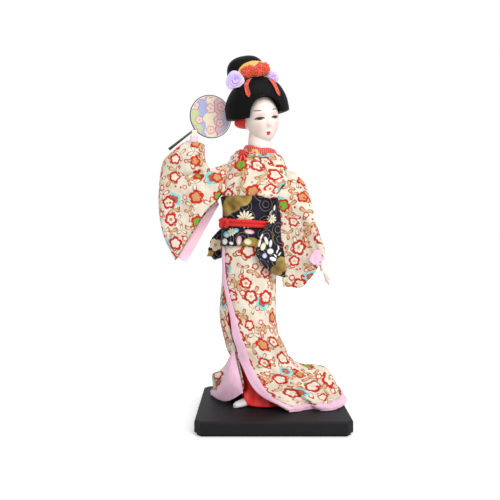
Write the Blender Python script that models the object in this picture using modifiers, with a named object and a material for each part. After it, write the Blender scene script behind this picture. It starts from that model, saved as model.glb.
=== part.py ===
"""Geisha doll in a long-sleeved printed robe, standing on a black plinth with a round fan."""
import math

import bmesh
import bpy
import numpy as np
from mathutils import Matrix, Vector

# Lengths are in millimetres and turned into metres when a mesh is made.
MM = 0.001
GAP = 0.35

# Plinth
PLINTH_WIDTH = 124.0
PLINTH_DEPTH = 100.0
PLINTH_TOP = 12.0
PLINTH_CORNER = 5.0
PLINTH_EDGE = 1.6
FOOT_INSET = 2.2
FOOT_HEIGHT = 2.4

# Rod from the plinth into the body
ROD_RADIUS = 1.6
ROD_BOTTOM = 4.0
ROD_TOP = 112.0
ROD_X = -14.0
ROD_Y = 9.0

# Cloth thicknesses
ROBE_CLOTH = 0.8
UNDER_CLOTH = 0.7
LINING_CLOTH = 0.7
OBI_CLOTH = 1.6

# The robe's outer surface: height, centre x, centre y, half width, half depth
ROBE_FORM = [
    (48, -9.8, 3.0, 27.5, 19.0),
    (62, -14.7, 1.0, 26.0, 17.5),
    (75, -19.6, 0.0, 24.5, 17.0),
    (90, -20.8, 0.0, 25.0, 17.0),
    (115, -19.9, 0.0, 24.4, 16.5),
    (146, -19.1, 0.0, 23.4, 16.0),
    (165, -18.5, 0.0, 22.3, 15.5),
    (180, -17.5, 0.0, 23.0, 16.0),
    (190, -18.0, -0.5, 24.5, 17.0),
    (200, -15.5, 0.0, 26.5, 17.0),
    (208, -11.0, 1.0, 28.5, 15.5),
    (214, -11.0, 2.0, 26.5, 14.0),
    (220, -10.6, 3.0, 22.0, 12.5),
    (226, -9.8, 3.0, 17.0, 11.5),
]
SHOULDER_TILT = 0.2

# Skirt ribs: angle at the waist, angle at the knee, point on the shin, point on the hem
SKIRT_TOP = 151.0
SKIRT_LEVELS = [(SKIRT_TOP, 0.0), (120, 0.4), (90, 1.0), (72, 1.0), (60, 1.0), (48, 1.0)]
SKIRT_RIBS = [
    (188, 234, (-13.2, -22, 27), (13, -29, 13.4)),
    (225, 256, (0, -25, 27), (22, -25, 13.4)),
    (260, 279, (11, -21, 28), (32, -20, 13.4)),
    (295, 305, (24, -15, 29), (47, -24, 13.4)),
    (330, 334, (38, -6, 30), (60, -15, 13.4)),
    (365, 365, (47, 8, 31), (68, 0, 13.6)),
    (400, 398, (50, 24, 32), (67, 20, 14)),
    (435, 428, (34, 34, 32), (52, 39, 13.4)),
    (470, 462, (10, 37, 28), (20, 46, 13.4)),
    (510, 500, (-20, 33, 28), (-22, 45, 13.4)),
    (548, 537, (-43, 17, 28), (-53, 27, 13.4)),
    (585, 563, (-37, 3, 27), (-44, 12, 14)),
    (620, 587, (-24.5, -14, 29), (-30, -9, 21.5)),
]
WRAP_INSET = 1.35

UNDER_TOP = 140.0
UNDER_HEIGHTS = (UNDER_TOP, 110, 80, 62)
# Lower rings of the under-robe: centre x, half width, centre y, half depth, height
UNDER_RINGS = [(-8.5, 21, 1, 15, 44), (-4, 21, 2, 17, 27), (-1.5, 23.5, 3, 20, 13.4)]
UNDER_LIFT = 8.2
UNDER_INSET = 3.0
BODICE_HEIGHTS = (SKIRT_TOP + GAP, 165, 180, 190, 200, 208, 214, 220, 222)

# Body and legs under the clothes: height and inset from the robe, then the line of each leg
CORE_HEIGHTS = [(100, 4.5), (120, 4.5), (UNDER_TOP + 1, 4.5), (UNDER_TOP + 6, 3.1), (180, 3.1), (200, 2.9),
                (207, 2.9), (213, 3.5)]
LEG_RADIUS = 5.0
RIGHT_LEG = [(-27, -1, 99.6), (-27, -1, 92), (-22, -2, 55), (-17.5, -3, 30), (-17.5, -3, 21.4)]
LEFT_LEG = [(-11, -1, 99.6), (-11, -1, 92), (-3, 3, 55), (4.5, 8, 30), (4.5, 8, 21.4)]

# Obi and its cord
OBI_BOTTOM = 146.8
OBI_TOP = 189.0
OBI_HEIGHTS = (OBI_BOTTOM, 165, 180, OBI_TOP)
CORD_HEIGHT = 165.5
CORD_RADIUS = 2.9
LEAF_LEFT = [(2.4, 186.6), (-1.4, 171), (-9.5, 157.5), (-13.6, 146), (-13.4, 139)]
LEAF_RIGHT = [(4.8, 186.6), (7.2, 171), (7.6, 154), (10.6, 138), (11.5, 120.5)]
# Bow behind, hung from the cord: middle, and the reach of each loop's end from it
BOW_X = -18.0
BOW_Y = 26.0
BOW_HEIGHT = CORD_HEIGHT - 2.5
BOW_ROOT = 6.2
BOW_REACH = {"left": (-37.5, -7, -18), "right": (35, -5, -17)}

# Head, hair and fan
HEAD_CENTRE = (-8.2, -2.0, 257.0)
HEAD_RADII = (14.3, 15.5, 21.0)
HEAD_TURN = 17.0
HEAD_ROLL = -9.6
HEAD_FRAME = Matrix.Rotation(math.radians(HEAD_ROLL), 3, "Y")
NECK_RADIUS = 8.8
NECK_BOTTOM = 206.0
NECK_X = -9.6
NECK_Y = 3.0
COLLAR_TILT = 0.16
# Neck under the head: height, centre x, centre y, radius
NECK_RINGS = [(NECK_BOTTOM, -10.2, 3, 9.6), (218, -10.2, 3, 9.4), (228, -10.1, 3, NECK_RADIUS),
              (238, -9.4, 2.6, 8.2), (248, -8.4, 2, 8.6)]
# Collars: heights on the shoulders, then rings round the neck by half width, half depth and height
COLLAR_HEIGHTS = (216.5, 221.0)
COLLAR_RING = (17.2, 14.2, 227.6)
RED_COLLAR_LOW = (15.4, 12.9, 225.6)
RED_COLLAR_TOP = (12.6, 11.6, 231.6)
HAIR_GAP = 0.35
HOOD_RINGS = [(3.3, -3, 25.5, 15), (6, -3, 26.8, 17.5), (13, -3, 27, 19.5), (19, -2.6, 25, 20), (25, -2, 21.5, 19),
              (30, -1.5, 16.5, 15.5), (33.5, -1, 9.5, 9.5), (34.8, -1, 3, 3)]
BUN_CENTRE = (-7.0, 7.0, 42.5)
BUN_RADII = (15.3, 11.5, 12.4)
COMB_CENTRE = (-0.8, -6.0, 36.6)
COMB_RADIUS = 14.0
COMB_THICKNESS = 1.6
RIBBON_RIGHT = [(-5.4, 30.6), (-7.8, 28.0), (-9.4, 24.6), (-9.4, 19.4), (-8.6, 14.8)]
RIBBON_LEFT = [(14.3, 22.6), (15.2, 18.6), (16.9, 13.0)]
NAPE_CENTRE = (-5.5, 8.5, 0)
NAPE_RADII = (20.5, 12.5, 8.5)

# Fan
FAN_RADIUS = 19.0
FAN_THICKNESS = 0.6
HANDLE_WIDTH = 2.4
FAN_LEAN = 14.0
HANDLE_START = (-88.5, 0.2, 230.2)
HANDLE_END = (-67.4, 6.0, 248.4)

# Arms: the padded wire from shoulder to wrist
ARM_RADIUS = 3.2
RIGHT_ARM = [(-40.6, 1, 203), (-58, 1, 200), (-80, 0, 200), (-84, 0, 208), (-75, 0, 223), (-69.8, 0, 231.2)]
LEFT_ARM = [(16.2, 1, 200), (24, 0, 189), (30, -2, 172), (35, -4, 156), (38, -5, 146), (39.6, -5.4, 139.6)]
RIGHT_HAND = (-67.6, 2.3, 241.8)
LEFT_HAND = (44.2, -5.2, 126.4)

# Sleeves, seen from the front: upper edge, lower edge, first opening, second opening
RIGHT_SLEEVE = ([(-58.3, 234.1), (-57.8, 221.0), (-53.0, 212.5), (-46, 214.4), (-39.9, 217.2)],
                [(-76.6, 234.5), (-84.2, 228.1), (-92.6, 219.3), (-96.0, 200), (-96.2, 176.9), (-92.0, 155), (-82.2, 134.9)],
                [(-58.3, 234.1), (-63, 235.3), (-70, 235.2), (-76.6, 234.5)],
                [(-39.9, 217.2), (-41.7, 211), (-43.6, 204), (-44.4, 195), (-46.2, 187), (-55.8, 177.0), (-66.2, 161.7), (-82.2, 134.9)])
LEFT_SLEEVE = ([(17.4, 212.2), (23.0, 205.6), (27.6, 200.4), (32.2, 187), (36.2, 170), (40.2, 156.5), (44.6, 143.2)],
               [(13.0, 112.5), (24.7, 111.6), (31.4, 118.0), (37.5, 126.0)],
               [(17.4, 212.2), (19.2, 206.5), (18.4, 200), (13.4, 193.5), (10.2, 187), (9.4, 172), (9.8, 154), (13.2, 139), (12.6, 124),
                (13.0, 112.5)],
               [(44.6, 143.2), (42.4, 136.5), (39.6, 130.5), (37.5, 126.0)])
RIGHT_LINING_IN = [(-47.6, 4.4, 187), (-59.2, 4.0, 172), (-70.4, 2.8, 154.5), (-81.0, -1.0, 136.6)]
RIGHT_LINING_OUT = [(-45.4, 5.4, 183), (-52.0, 6.4, 172), (-64.0, 5.4, 150), (-74.0, 1.0, 132.6)]


def smooth(t):
    """Ease between 0 and 1."""
    t = min(max(t, 0.0), 1.0)
    return t * t * (3 - 2 * t)


def spline(points, t, closed=False):
    """Point at t in 0..1 on a smooth curve through the points."""
    pts = np.asarray(points, float)
    n = len(pts)
    spans = n if closed else n - 1
    s = min(max(t, 0.0), 1.0) * spans
    i = min(int(s), spans - 1)
    f = s - i
    if closed:
        p0, p1, p2, p3 = (pts[(i + k) % n] for k in (-1, 0, 1, 2))
    else:
        p1, p2 = pts[i], pts[i + 1]
        p0 = pts[i - 1] if i > 0 else 2 * p1 - p2
        p3 = pts[i + 2] if i + 2 < n else 2 * p2 - p1
    return 0.5 * (2 * p1 + (p2 - p0) * f + (2 * p0 - 5 * p1 + 4 * p2 - p3) * f * f
                  + (3 * p1 - p0 - 3 * p2 + p3) * f ** 3)


def form_at(z):
    """Centre and half sizes of the robe's outer surface at a height."""
    rows = np.asarray(ROBE_FORM, float)
    return [float(np.interp(z, rows[:, 0], rows[:, k])) for k in (1, 2, 3, 4)]


def body_point(angle, z, grow=0.0):
    """Point on the robe's surface at an angle in degrees, moved outwards by grow."""
    cx, cy, rx, ry = form_at(z)
    a = math.radians(angle)
    x = cx + (rx + grow) * math.cos(a)
    y = cy + (ry + grow) * math.sin(a)
    tilt = SHOULDER_TILT * smooth((z - 188) / 30)
    return np.array((x, y, z - tilt * (x - cx)))


def collection(name):
    """A new collection in the scene."""
    col = bpy.data.collections.new(name)
    bpy.context.scene.collection.children.link(col)
    return col


def paint(obj, colour, roughness=0.8, metallic=0.0):
    """Give an object its own material."""
    mat = bpy.data.materials.new(obj.name + "_finish")
    mat.use_nodes = True
    shader = mat.node_tree.nodes["Principled BSDF"]
    shader.inputs["Base Color"].default_value = (*colour, 1)
    shader.inputs["Roughness"].default_value = roughness
    shader.inputs["Metallic"].default_value = metallic
    obj.data.materials.clear()
    obj.data.materials.append(mat)
    return obj


def add_mesh(name, verts, faces, col=None):
    """Object from points in millimetres, with its normals made consistent."""
    mesh = bpy.data.meshes.new(name)
    mesh.from_pydata([tuple(c * MM for c in v) for v in verts], [], faces)
    bm = bmesh.new()
    bm.from_mesh(mesh)
    bmesh.ops.recalc_face_normals(bm, faces=bm.faces)
    bm.to_mesh(mesh)
    bm.free()
    mesh.shade_smooth()
    obj = bpy.data.objects.new(name, mesh)
    (col or DOLL).objects.link(obj)
    return obj


def grid_faces(rows, cols, closed=False):
    """Quads of a grid of rows by cols points."""
    span = cols if closed else cols - 1
    return [(r * cols + c, r * cols + (c + 1) % cols, (r + 1) * cols + (c + 1) % cols, (r + 1) * cols + c)
            for r in range(rows - 1) for c in range(span)]


def solid_sheet(name, surface, rows, cols, thickness, closed=False, flip=False):
    """Cloth of even thickness: it lies behind surface(v, u), or before it where thickness is negative."""
    last = cols if closed else cols - 1
    verts = [surface(r / (rows - 1), c / last) for r in range(rows) for c in range(cols)]
    mesh = bpy.data.meshes.new(name)
    faces = grid_faces(rows, cols, closed)
    if flip:
        faces = [face[::-1] for face in faces]
    mesh.from_pydata([tuple(k * MM for k in v) for v in verts], [], faces)
    mesh.shade_smooth()
    obj = bpy.data.objects.new(name, mesh)
    DOLL.objects.link(obj)
    mod = obj.modifiers.new("Thickness", "SOLIDIFY")
    mod.thickness = abs(thickness) * MM
    mod.offset = -1 if thickness > 0 else 1
    return obj


def loft(name, rings, col=None):
    """Closed solid through rings of points, capped at both ends."""
    count = len(rings[0])
    verts = [p for ring in rings for p in ring]
    faces = grid_faces(len(rings), count, True)
    faces.append(tuple(range(count)))
    faces.append(tuple(range((len(rings) - 1) * count, len(rings) * count)))
    return add_mesh(name, verts, faces, col)


def body_ring(z, grow, count=48):
    """Ring of points round the body at a height."""
    return [body_point(360 * k / count, z, grow) for k in range(count)]


def carve(obj, cutter, operation="DIFFERENCE"):
    """Boolean with a cutter, which is kept as a wire in its own collection."""
    for col in list(cutter.users_collection):
        col.objects.unlink(cutter)
    CUTTERS.objects.link(cutter)
    cutter.display_type = "WIRE"
    cutter.hide_render = True
    mod = obj.modifiers.new("Carve", "BOOLEAN")
    mod.operation = operation
    mod.solver = "EXACT"
    mod.object = cutter
    return obj


def placed(obj, location=(0, 0, 0), rotation=(0, 0, 0), scale=(1, 1, 1)):
    """Set an object's place in millimetres, its turn in degrees and its scale."""
    obj.location = [c * MM for c in location]
    obj.rotation_euler = [math.radians(a) for a in rotation]
    obj.scale = scale
    return obj


def primitive(name, kind, col=None, **sizes):
    """Mesh primitive made with bmesh, sizes in millimetres."""
    bm = bmesh.new()
    if kind == "box":
        bmesh.ops.create_cube(bm, size=1)
        bmesh.ops.scale(bm, vec=Vector(sizes["size"]) * MM, verts=bm.verts)
    elif kind == "ball":
        bmesh.ops.create_uvsphere(bm, u_segments=sizes.get("segments", 20),
                                  v_segments=sizes.get("rings", 10), radius=1)
        bmesh.ops.scale(bm, vec=Vector(sizes["radii"]) * MM, verts=bm.verts)
    else:
        bmesh.ops.create_cone(bm, cap_ends=True, segments=sizes.get("segments", 32),
                              radius1=sizes["radius"] * MM, radius2=sizes.get("top", sizes["radius"]) * MM,
                              depth=sizes["height"] * MM)
    mesh = bpy.data.meshes.new(name)
    bm.to_mesh(mesh)
    bm.free()
    mesh.shade_smooth()
    obj = bpy.data.objects.new(name, mesh)
    (col or DOLL).objects.link(obj)
    return obj


def tube(name, points, radius, tapers=None, segments=2, col=None):
    """Round bar along points, with filled caps."""
    curve = bpy.data.curves.new(name, "CURVE")
    curve.dimensions = "3D"
    curve.bevel_depth = radius * MM
    curve.bevel_resolution = segments
    curve.resolution_u = 3
    curve.use_fill_caps = True
    line = curve.splines.new("BEZIER")
    line.bezier_points.add(len(points) - 1)
    for k, (knot, p) in enumerate(zip(line.bezier_points, points)):
        knot.co = Vector(p) * MM
        knot.handle_left_type = knot.handle_right_type = "AUTO"
        knot.radius = tapers[k] if tapers else 1
    obj = bpy.data.objects.new(name, curve)
    (col or DOLL).objects.link(obj)
    return obj


def rounded_by_remesh(name, pieces, voxel, faces_ratio=1.0):
    """Join overlapping closed pieces into one smooth solid."""
    bm = bmesh.new()
    graph = bpy.context.evaluated_depsgraph_get()
    for piece in pieces:
        mesh = bpy.data.meshes.new_from_object(piece.evaluated_get(graph))
        mesh.transform(piece.matrix_world)
        bm.from_mesh(mesh)
        bpy.data.meshes.remove(mesh)
        bpy.data.objects.remove(piece)
    mesh = bpy.data.meshes.new(name)
    bm.to_mesh(mesh)
    bm.free()
    mesh.shade_smooth()
    obj = bpy.data.objects.new(name, mesh)
    DOLL.objects.link(obj)
    mod = obj.modifiers.new("Join", "REMESH")
    mod.mode = "VOXEL"
    mod.voxel_size = voxel * MM
    mod.use_smooth_shade = True
    if faces_ratio < 1:
        slim = obj.modifiers.new("Fewer faces", "DECIMATE")
        slim.ratio = faces_ratio
    return obj


def make_plinth():
    """Lacquered block with clipped corners on an inset foot, bored for the rod."""
    plinth = primitive("plinth", "box", size=(PLINTH_WIDTH, PLINTH_DEPTH, PLINTH_TOP - FOOT_HEIGHT))
    placed(plinth, (0, 0, (PLINTH_TOP + FOOT_HEIGHT) / 2))
    bm = bmesh.new()
    bm.from_mesh(plinth.data)
    upright = [e for e in bm.edges if abs(e.verts[0].co.z - e.verts[1].co.z) > MM]
    bmesh.ops.bevel(bm, geom=upright, offset=PLINTH_CORNER * MM, segments=1, affect="EDGES")
    bmesh.ops.translate(bm, vec=(0, 0, (PLINTH_TOP + FOOT_HEIGHT) / 2 * MM), verts=bm.verts)
    top = max(bm.faces, key=lambda f: f.calc_center_median().z * (abs(f.normal.z) > 0.9))
    bmesh.ops.bevel(bm, geom=list(top.edges), offset=PLINTH_EDGE * MM, segments=3, profile=0.5, affect="EDGES")
    under = min(bm.faces, key=lambda f: f.calc_center_median().z + (abs(f.normal.z) < 0.9))
    bmesh.ops.inset_region(bm, faces=[under], thickness=FOOT_INSET * MM)
    foot = bmesh.ops.extrude_discrete_faces(bm, faces=[under])["faces"]
    bmesh.ops.translate(bm, vec=(0, 0, -FOOT_HEIGHT * MM), verts=list(foot[0].verts))
    bm.to_mesh(plinth.data)
    bm.free()
    plinth.location = (0, 0, 0)
    plinth.data.shade_flat()
    hole = primitive("rod_hole", "rod", radius=ROD_RADIUS + GAP, height=30, segments=24)
    carve(plinth, placed(hole, (ROD_X, ROD_Y, ROD_BOTTOM + 15)))
    paint(plinth, (0.02, 0.019, 0.024), 0.35)


def make_core():
    """Rod, padded body and legs, which the clothes hide."""
    rod = primitive("stand_rod", "rod", radius=ROD_RADIUS, height=ROD_TOP - ROD_BOTTOM - GAP, segments=16)
    placed(rod, (ROD_X, ROD_Y, (ROD_TOP + ROD_BOTTOM + GAP) / 2))
    paint(rod, (0.5, 0.5, 0.5), 0.35, 1.0)
    core = loft("torso_core", [body_ring(z, -inset, 24) for z, inset in CORE_HEIGHTS])
    hole = primitive("core_hole", "rod", radius=ROD_RADIUS + GAP, height=20, segments=24)
    carve(core, placed(hole, (ROD_X, ROD_Y, ROD_TOP - 10 + GAP)))
    neck_hole = primitive("neck_hole", "rod", radius=NECK_RADIUS + 1 + GAP, height=30, segments=32)
    carve(core, placed(neck_hole, (-10.2, 3, NECK_BOTTOM - GAP + 15)))
    paint(core, (0.75, 0.7, 0.6), 0.95)
    right = tube("right_leg", RIGHT_LEG, LEG_RADIUS, [1.1, 1.1, 1, 0.7, 0.55])
    left = tube("left_leg", LEFT_LEG, LEG_RADIUS, [1.1, 1.1, 0.9, 0.7, 0.55])
    for leg in (right, left):
        paint(leg, (0.8, 0.76, 0.68), 0.95)


def foot_form(name, heel, toe):
    """Sock foot with a flat sole, a high instep and a split toe."""
    heel, toe = np.asarray(heel, float), np.asarray(toe, float)
    along = toe - heel
    side = np.array((along[1], -along[0])) / np.hypot(*along)
    shape = [(0.0, 2.2, 4.4), (0.07, 3.7, 6.0), (0.25, 4.1, 7.4), (0.45, 4.0, 6.2), (0.7, 4.7, 4.6),
             (0.88, 4.3, 3.8), (0.97, 2.8, 3.0), (1.0, 1.4, 2.0)]
    base = PLINTH_TOP + GAP
    rings = []
    for t, half, high in shape:
        ring = []
        for k in range(20):
            a = 2 * math.pi * k / 20
            off = half * math.cos(a)
            cleft = 1.1 * max(0.0, (t - 0.72) / 0.28) * math.exp(-((off - 1.4) / 0.7) ** 2)
            rise = max(0.0, high * (0.5 + 0.62 * math.sin(a)) - cleft) if math.sin(a) > -0.8 else 0.0
            p = heel + along * t + side * off
            ring.append((p[0], p[1], base + rise))
        rings.append(ring)
    return loft(name, rings)


def make_feet():
    """White split-toed socks, each with the socket that its leg stands in."""
    for name, heel, toe in (("right_tabi", (-10, 0), (-31.5, -17)), ("left_tabi", (8, 16), (-3, -7))):
        paint(foot_form(name, heel, toe), (0.86, 0.84, 0.82), 0.9)


def rib_point(k, level, inset):
    """Point of a skirt rib: 0..5 go down the body, 6 is the shin and 7 the hem."""
    top, low, shin, hem = SKIRT_RIBS[k]
    if level < len(SKIRT_LEVELS):
        z, ease = SKIRT_LEVELS[level]
        return body_point(top + (low - top) * ease, z, -inset)
    return np.asarray(shin if level == len(SKIRT_LEVELS) else hem, float)


def skirt_point(v, u, lift=0.0):
    """The robe below the sash: v runs from sash to hem, u from the outer edge round to the inner one."""
    rows = len(SKIRT_LEVELS) + 2
    last = len(SKIRT_RIBS) - 1
    grid = []
    for level in range(rows):
        ribs = [rib_point(k, level, WRAP_INSET * smooth((k / last * 12 - 8.5) / 2.5) - lift)
                for k in range(last + 1)]
        grid.append(spline(ribs, u))
    return spline(grid, v)


def make_skirt():
    """Printed robe with its train, its pink edge facings and the red robe under it."""
    skirt = solid_sheet("skirt", skirt_point, 15, 45, ROBE_CLOTH, flip=True)
    paint(skirt, (0.76, 0.62, 0.48), 0.7)


def under_point(v, u):
    """The red robe: it follows the body, then spreads over the feet."""
    angle = 360 * u
    stations = [body_point(angle, z, -UNDER_INSET) for z in UNDER_HEIGHTS]
    a = math.radians(angle)
    for cx, rx, cy, ry, z in UNDER_RINGS:
        stations.append(np.array((cx + rx * math.cos(a), cy + ry * math.sin(a), z)))
    stations[-1][2] += UNDER_LIFT * math.exp(-((angle - 217) / 24) ** 2)
    return spline(stations, v)


def make_under_robe():
    """Red silk under-robe, open at the hem."""
    robe = solid_sheet("under_robe", under_point, 8, 30, UNDER_CLOTH, closed=True, flip=True)
    paint(robe, (0.55, 0.01, 0.01), 0.5)


def lifted(surface, v, u, lift, step=0.01):
    """Point of a surface moved outwards along its normal."""
    v0, v1 = max(v - step, 0.0), min(v + step, 1.0)
    u0, u1 = max(u - step, 0.0), min(u + step, 1.0)
    along = surface(v1, u) - surface(v0, u)
    across = surface(v, u1) - surface(v, u0)
    normal = np.cross(along, across)
    return surface(v, u) + normal / np.linalg.norm(normal) * lift


def facing_width(v):
    """How far the pink facing reaches from the robe's front edge, in u."""
    return 0.034 + 0.062 * smooth((v - 0.35) / 0.3) - 0.046 * smooth((v - 0.88) / 0.12)


def make_facings():
    """Pink lining turned out along the front edge and the hem, and the turned-back corner."""
    rise = 2 * GAP + LINING_CLOTH
    edge = solid_sheet("front_edge_facing",
                       lambda v, u: lifted(skirt_point, 0.16 + 0.835 * v, 0.002 + facing_width(0.16 + 0.835 * v) * u, rise),
                       15, 4, LINING_CLOTH, flip=True)
    hem = solid_sheet("hem_facing", lambda v, u: lifted(skirt_point, 0.974 + 0.024 * v, 0.064 + 0.45 * u, rise),
                      2, 24, LINING_CLOTH, flip=True)
    crease = [(-31.8, -11.7, 59.5), (-29.3, -11.1, 47), (-26.2, -15.2, 35), (-24.4, -16.2, 24.5)]
    middle = [(-32.6, -10.9, 58.9), (-35, -11.6, 46), (-37.5, -12.5, 30), (-38.5, -8, 14.8)]
    free = [(-33.3, -10.4, 58.4), (-39.5, -6.5, 47), (-45, 1, 32), (-55, 14, 14.2)]
    flap = solid_sheet("corner_flap", lambda v, u: spline([spline(c, v) for c in (crease, middle, free)], u),
                       9, 7, LINING_CLOTH)
    for piece in (edge, hem, flap):
        paint(piece, (0.66, 0.40, 0.52), 0.45)


def arm_holes(obj):
    """Cut the two armholes."""
    for side, place in (("right", RIGHT_ARM[0]), ("left", LEFT_ARM[0])):
        cutter = primitive(side + "_armhole", "rod", radius=ARM_RADIUS + 2.5 * GAP, height=14, segments=20)
        carve(obj, placed(cutter, place, (0, 90, 0)))


def make_bodice():
    """Printed upper robe with armholes, and the two collars."""
    def surface(v, u):
        return body_point(360 * u, BODICE_HEIGHTS[round(v * (len(BODICE_HEIGHTS) - 1))])
    bodice = solid_sheet("bodice", surface, len(BODICE_HEIGHTS), 30, ROBE_CLOTH, closed=True)
    arm_holes(bodice)
    paint(bodice, (0.76, 0.62, 0.48), 0.7)
    outer = solid_sheet("collar", collar_point, 4, 36, -ROBE_CLOTH, closed=True)
    paint(outer, (0.76, 0.62, 0.48), 0.7)
    red = solid_sheet("red_collar", red_collar_point, 3, 36, -ROBE_CLOTH, closed=True)
    paint(red, (0.55, 0.02, 0.02), 0.5)


def neck_ring(angle, radius_x, radius_y, z):
    """Point on a tilted ring round the neck."""
    a = math.radians(angle)
    x = NECK_X + radius_x * math.cos(a)
    return np.array((x, NECK_Y + radius_y * math.sin(a), z - COLLAR_TILT * (x - NECK_X)))


def collar_point(v, u):
    """Printed collar: it lies on the shoulders and rises round the neck."""
    shoulders = [body_point(360 * u, z, GAP + ROBE_CLOTH) for z in COLLAR_HEIGHTS]
    return spline([*shoulders, neck_ring(360 * u, *COLLAR_RING)], v)


def red_collar_point(v, u):
    """Red collar: a cone that stands round the neck inside the printed one."""
    low, top = neck_ring(360 * u, *RED_COLLAR_LOW), neck_ring(360 * u, *RED_COLLAR_TOP)
    return spline([low, (low + top) / 2 + np.array((0, 0, 0.3)), top], v)


def bag_point(edges, c, t):
    """Middle surface of a sleeve from its four edges: c runs across and t along."""
    upper, lower, start, end = edges
    u, d, a, b = spline(upper, t), spline(lower, t), spline(start, c), spline(end, c)
    corners = ((1 - c) * (1 - t) * np.asarray(upper[0], float) + (1 - c) * t * np.asarray(upper[-1], float)
               + c * (1 - t) * np.asarray(lower[0], float) + c * t * np.asarray(lower[-1], float))
    return (1 - c) * u + c * d + (1 - t) * a + t * b - corners


def sleeve_point(edges, depth, t, turn):
    """Outer surface of a sleeve: turn goes once round, t from one opening to the other."""
    c = 0.5 - 0.5 * math.cos(turn)
    p = bag_point(edges, c, t)
    middle, half = depth(c, t)
    swell = math.sin(turn)
    return np.array((p[0], middle - half * math.copysign(abs(swell) ** 0.6, swell), p[1]))


def sleeve_depth_right(c, t):
    """Depth of the raised sleeve's middle, and half its thickness."""
    half = 6.3 + 1.8 * math.sin(math.pi * min(t * 1.2, 1)) * (1 - 0.45 * c)
    return 0.5 - 2.0 * c * t, half


def sleeve_depth_left(c, t):
    """Depth of the lowered sleeve's middle, and half its thickness."""
    return -1.0 - 4.2 * smooth(t), 7.0 + 0.6 * math.sin(math.pi * t) - 2.2 * c


def make_sleeves():
    """Two long sleeves, open at the wrist and towards the body, with linings and cuffs."""
    for side, edges, depth in (("right", RIGHT_SLEEVE, sleeve_depth_right), ("left", LEFT_SLEEVE, sleeve_depth_left)):
        rows, cols = 14, 18
        verts = [sleeve_point(edges, depth, r / (rows - 1), 2 * math.pi * c / cols)
                 for r in range(rows) for c in range(cols)]
        sleeve = add_mesh(side + "_sleeve", verts, grid_faces(rows, cols, True))
        mod = sleeve.modifiers.new("Thickness", "SOLIDIFY")
        mod.thickness = ROBE_CLOTH * MM
        mod.offset = 0
        paint(sleeve, (0.76, 0.62, 0.48), 0.7)
    for side, points in (("right", RIGHT_ARM), ("left", LEFT_ARM)):
        arm = tube(side + "_arm", points, ARM_RADIUS, [0.85, 0.95, 0.95, 0.9, 0.8, 0.7])
        paint(arm, (0.8, 0.76, 0.68), 0.95)
    lining = solid_sheet("right_sleeve_lining",
                         lambda v, u: spline([spline(RIGHT_LINING_IN, v), spline(RIGHT_LINING_OUT, v)], u),
                         9, 3, LINING_CLOTH)
    paint(lining, (0.66, 0.40, 0.52), 0.45)
    for side, wrist, hand, radius in (("right", RIGHT_ARM[-1], RIGHT_HAND, 5.4), ("left", LEFT_ARM[-1], LEFT_HAND, 4.6)):
        axis = np.asarray(hand, float) - np.asarray(wrist, float)
        axis /= np.linalg.norm(axis)
        across = np.cross(axis, (0, 1, 0))
        across /= np.linalg.norm(across)
        start = np.asarray(wrist, float) - axis * 1.0
        rings = []
        for back, wide in ((0.0, 0.8), (3.0, 0.95), (6.5, 1.0), (6.5, 0.86), (3.0, 0.81), (0.0, 0.66)):
            rings.append([start + axis * back + radius * wide * (across * math.cos(k * math.pi / 10)
                          + 0.85 * np.array((0, 1, 0)) * math.sin(k * math.pi / 10)) for k in range(20)])
        verts = [p for ring in rings for p in ring]
        cuff = add_mesh(side + "_cuff", verts, grid_faces(7, 20, True)[:100]
                        + [(100 + k, 100 + (k + 1) % 20, (k + 1) % 20, k) for k in range(20)])
        paint(cuff, (0.66, 0.40, 0.52), 0.45)


def make_hand(name, wrist, palm, tips, finger):
    """Slim hand with five fingers, joined into one solid."""
    wrist, palm = np.asarray(wrist, float), np.asarray(palm, float)
    pieces = [tube("w", [wrist, (wrist + palm) / 2, palm], 1.0, [2.3, 2.2, 2.6], 3)]
    pieces.append(placed(primitive("p", "ball", radii=(2.9, 1.9, 3.4)), palm, (0, math.degrees(
        math.atan2(palm[0] - wrist[0], palm[2] - wrist[2])), 0)))
    for tip in tips:
        tip = np.asarray(tip, float)
        knuckle = palm + (tip - palm) * 0.45 + np.array((0, 0.4, 0))
        pieces.append(tube("f", [palm, knuckle, tip], finger, [1.3, 1.1, 0.7], 2))
    bpy.context.view_layer.update()
    return paint(rounded_by_remesh(name, pieces, 0.6, 0.16), (0.85, 0.79, 0.74), 0.5)


def make_hands():
    """The hand that holds the fan's handle and the open lower hand."""
    w = RIGHT_HAND
    make_hand("right_hand", (-69.5, 0, 232.3), w,
              [(w[0] + 2.8, w[1] + 0.9, w[2] + 5.2), (w[0] + 1.6, w[1] + 1.2, w[2] + 6.0),
               (w[0] + 0.2, w[1] + 1.3, w[2] + 6.2), (w[0] - 1.2, w[1] + 1.2, w[2] + 5.6),
               (w[0] + 4.2, w[1] + 1.6, w[2] + 2.6)], 0.95)
    make_hand("left_hand", (40.3, -5.4, 137.4), LEFT_HAND,
              [(51.4, -6.5, 116.4), (50.0, -5.2, 113.2), (49.0, -3.8, 112.6), (46.6, -2.8, 115.0),
               (41.2, -8.0, 122.6)], 0.95)


def ring_tube(name, centre, section, count, sides):
    """Closed ring swept by a section: section(k) gives (out, up) for a turn and an angle."""
    verts = []
    for k in range(count):
        angle = 360 * k / count
        for j in range(sides):
            out, up = section(angle, 2 * math.pi * j / sides)
            p = centre(angle, out)
            verts.append((p[0], p[1], p[2] + up))
    faces = []
    for k in range(count):
        for j in range(sides):
            a, b = k * sides + j, k * sides + (j + 1) % sides
            n = ((k + 1) % count) * sides
            faces.append((a, b, n + (j + 1) % sides, n + j))
    return add_mesh(name, verts, faces)


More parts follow.
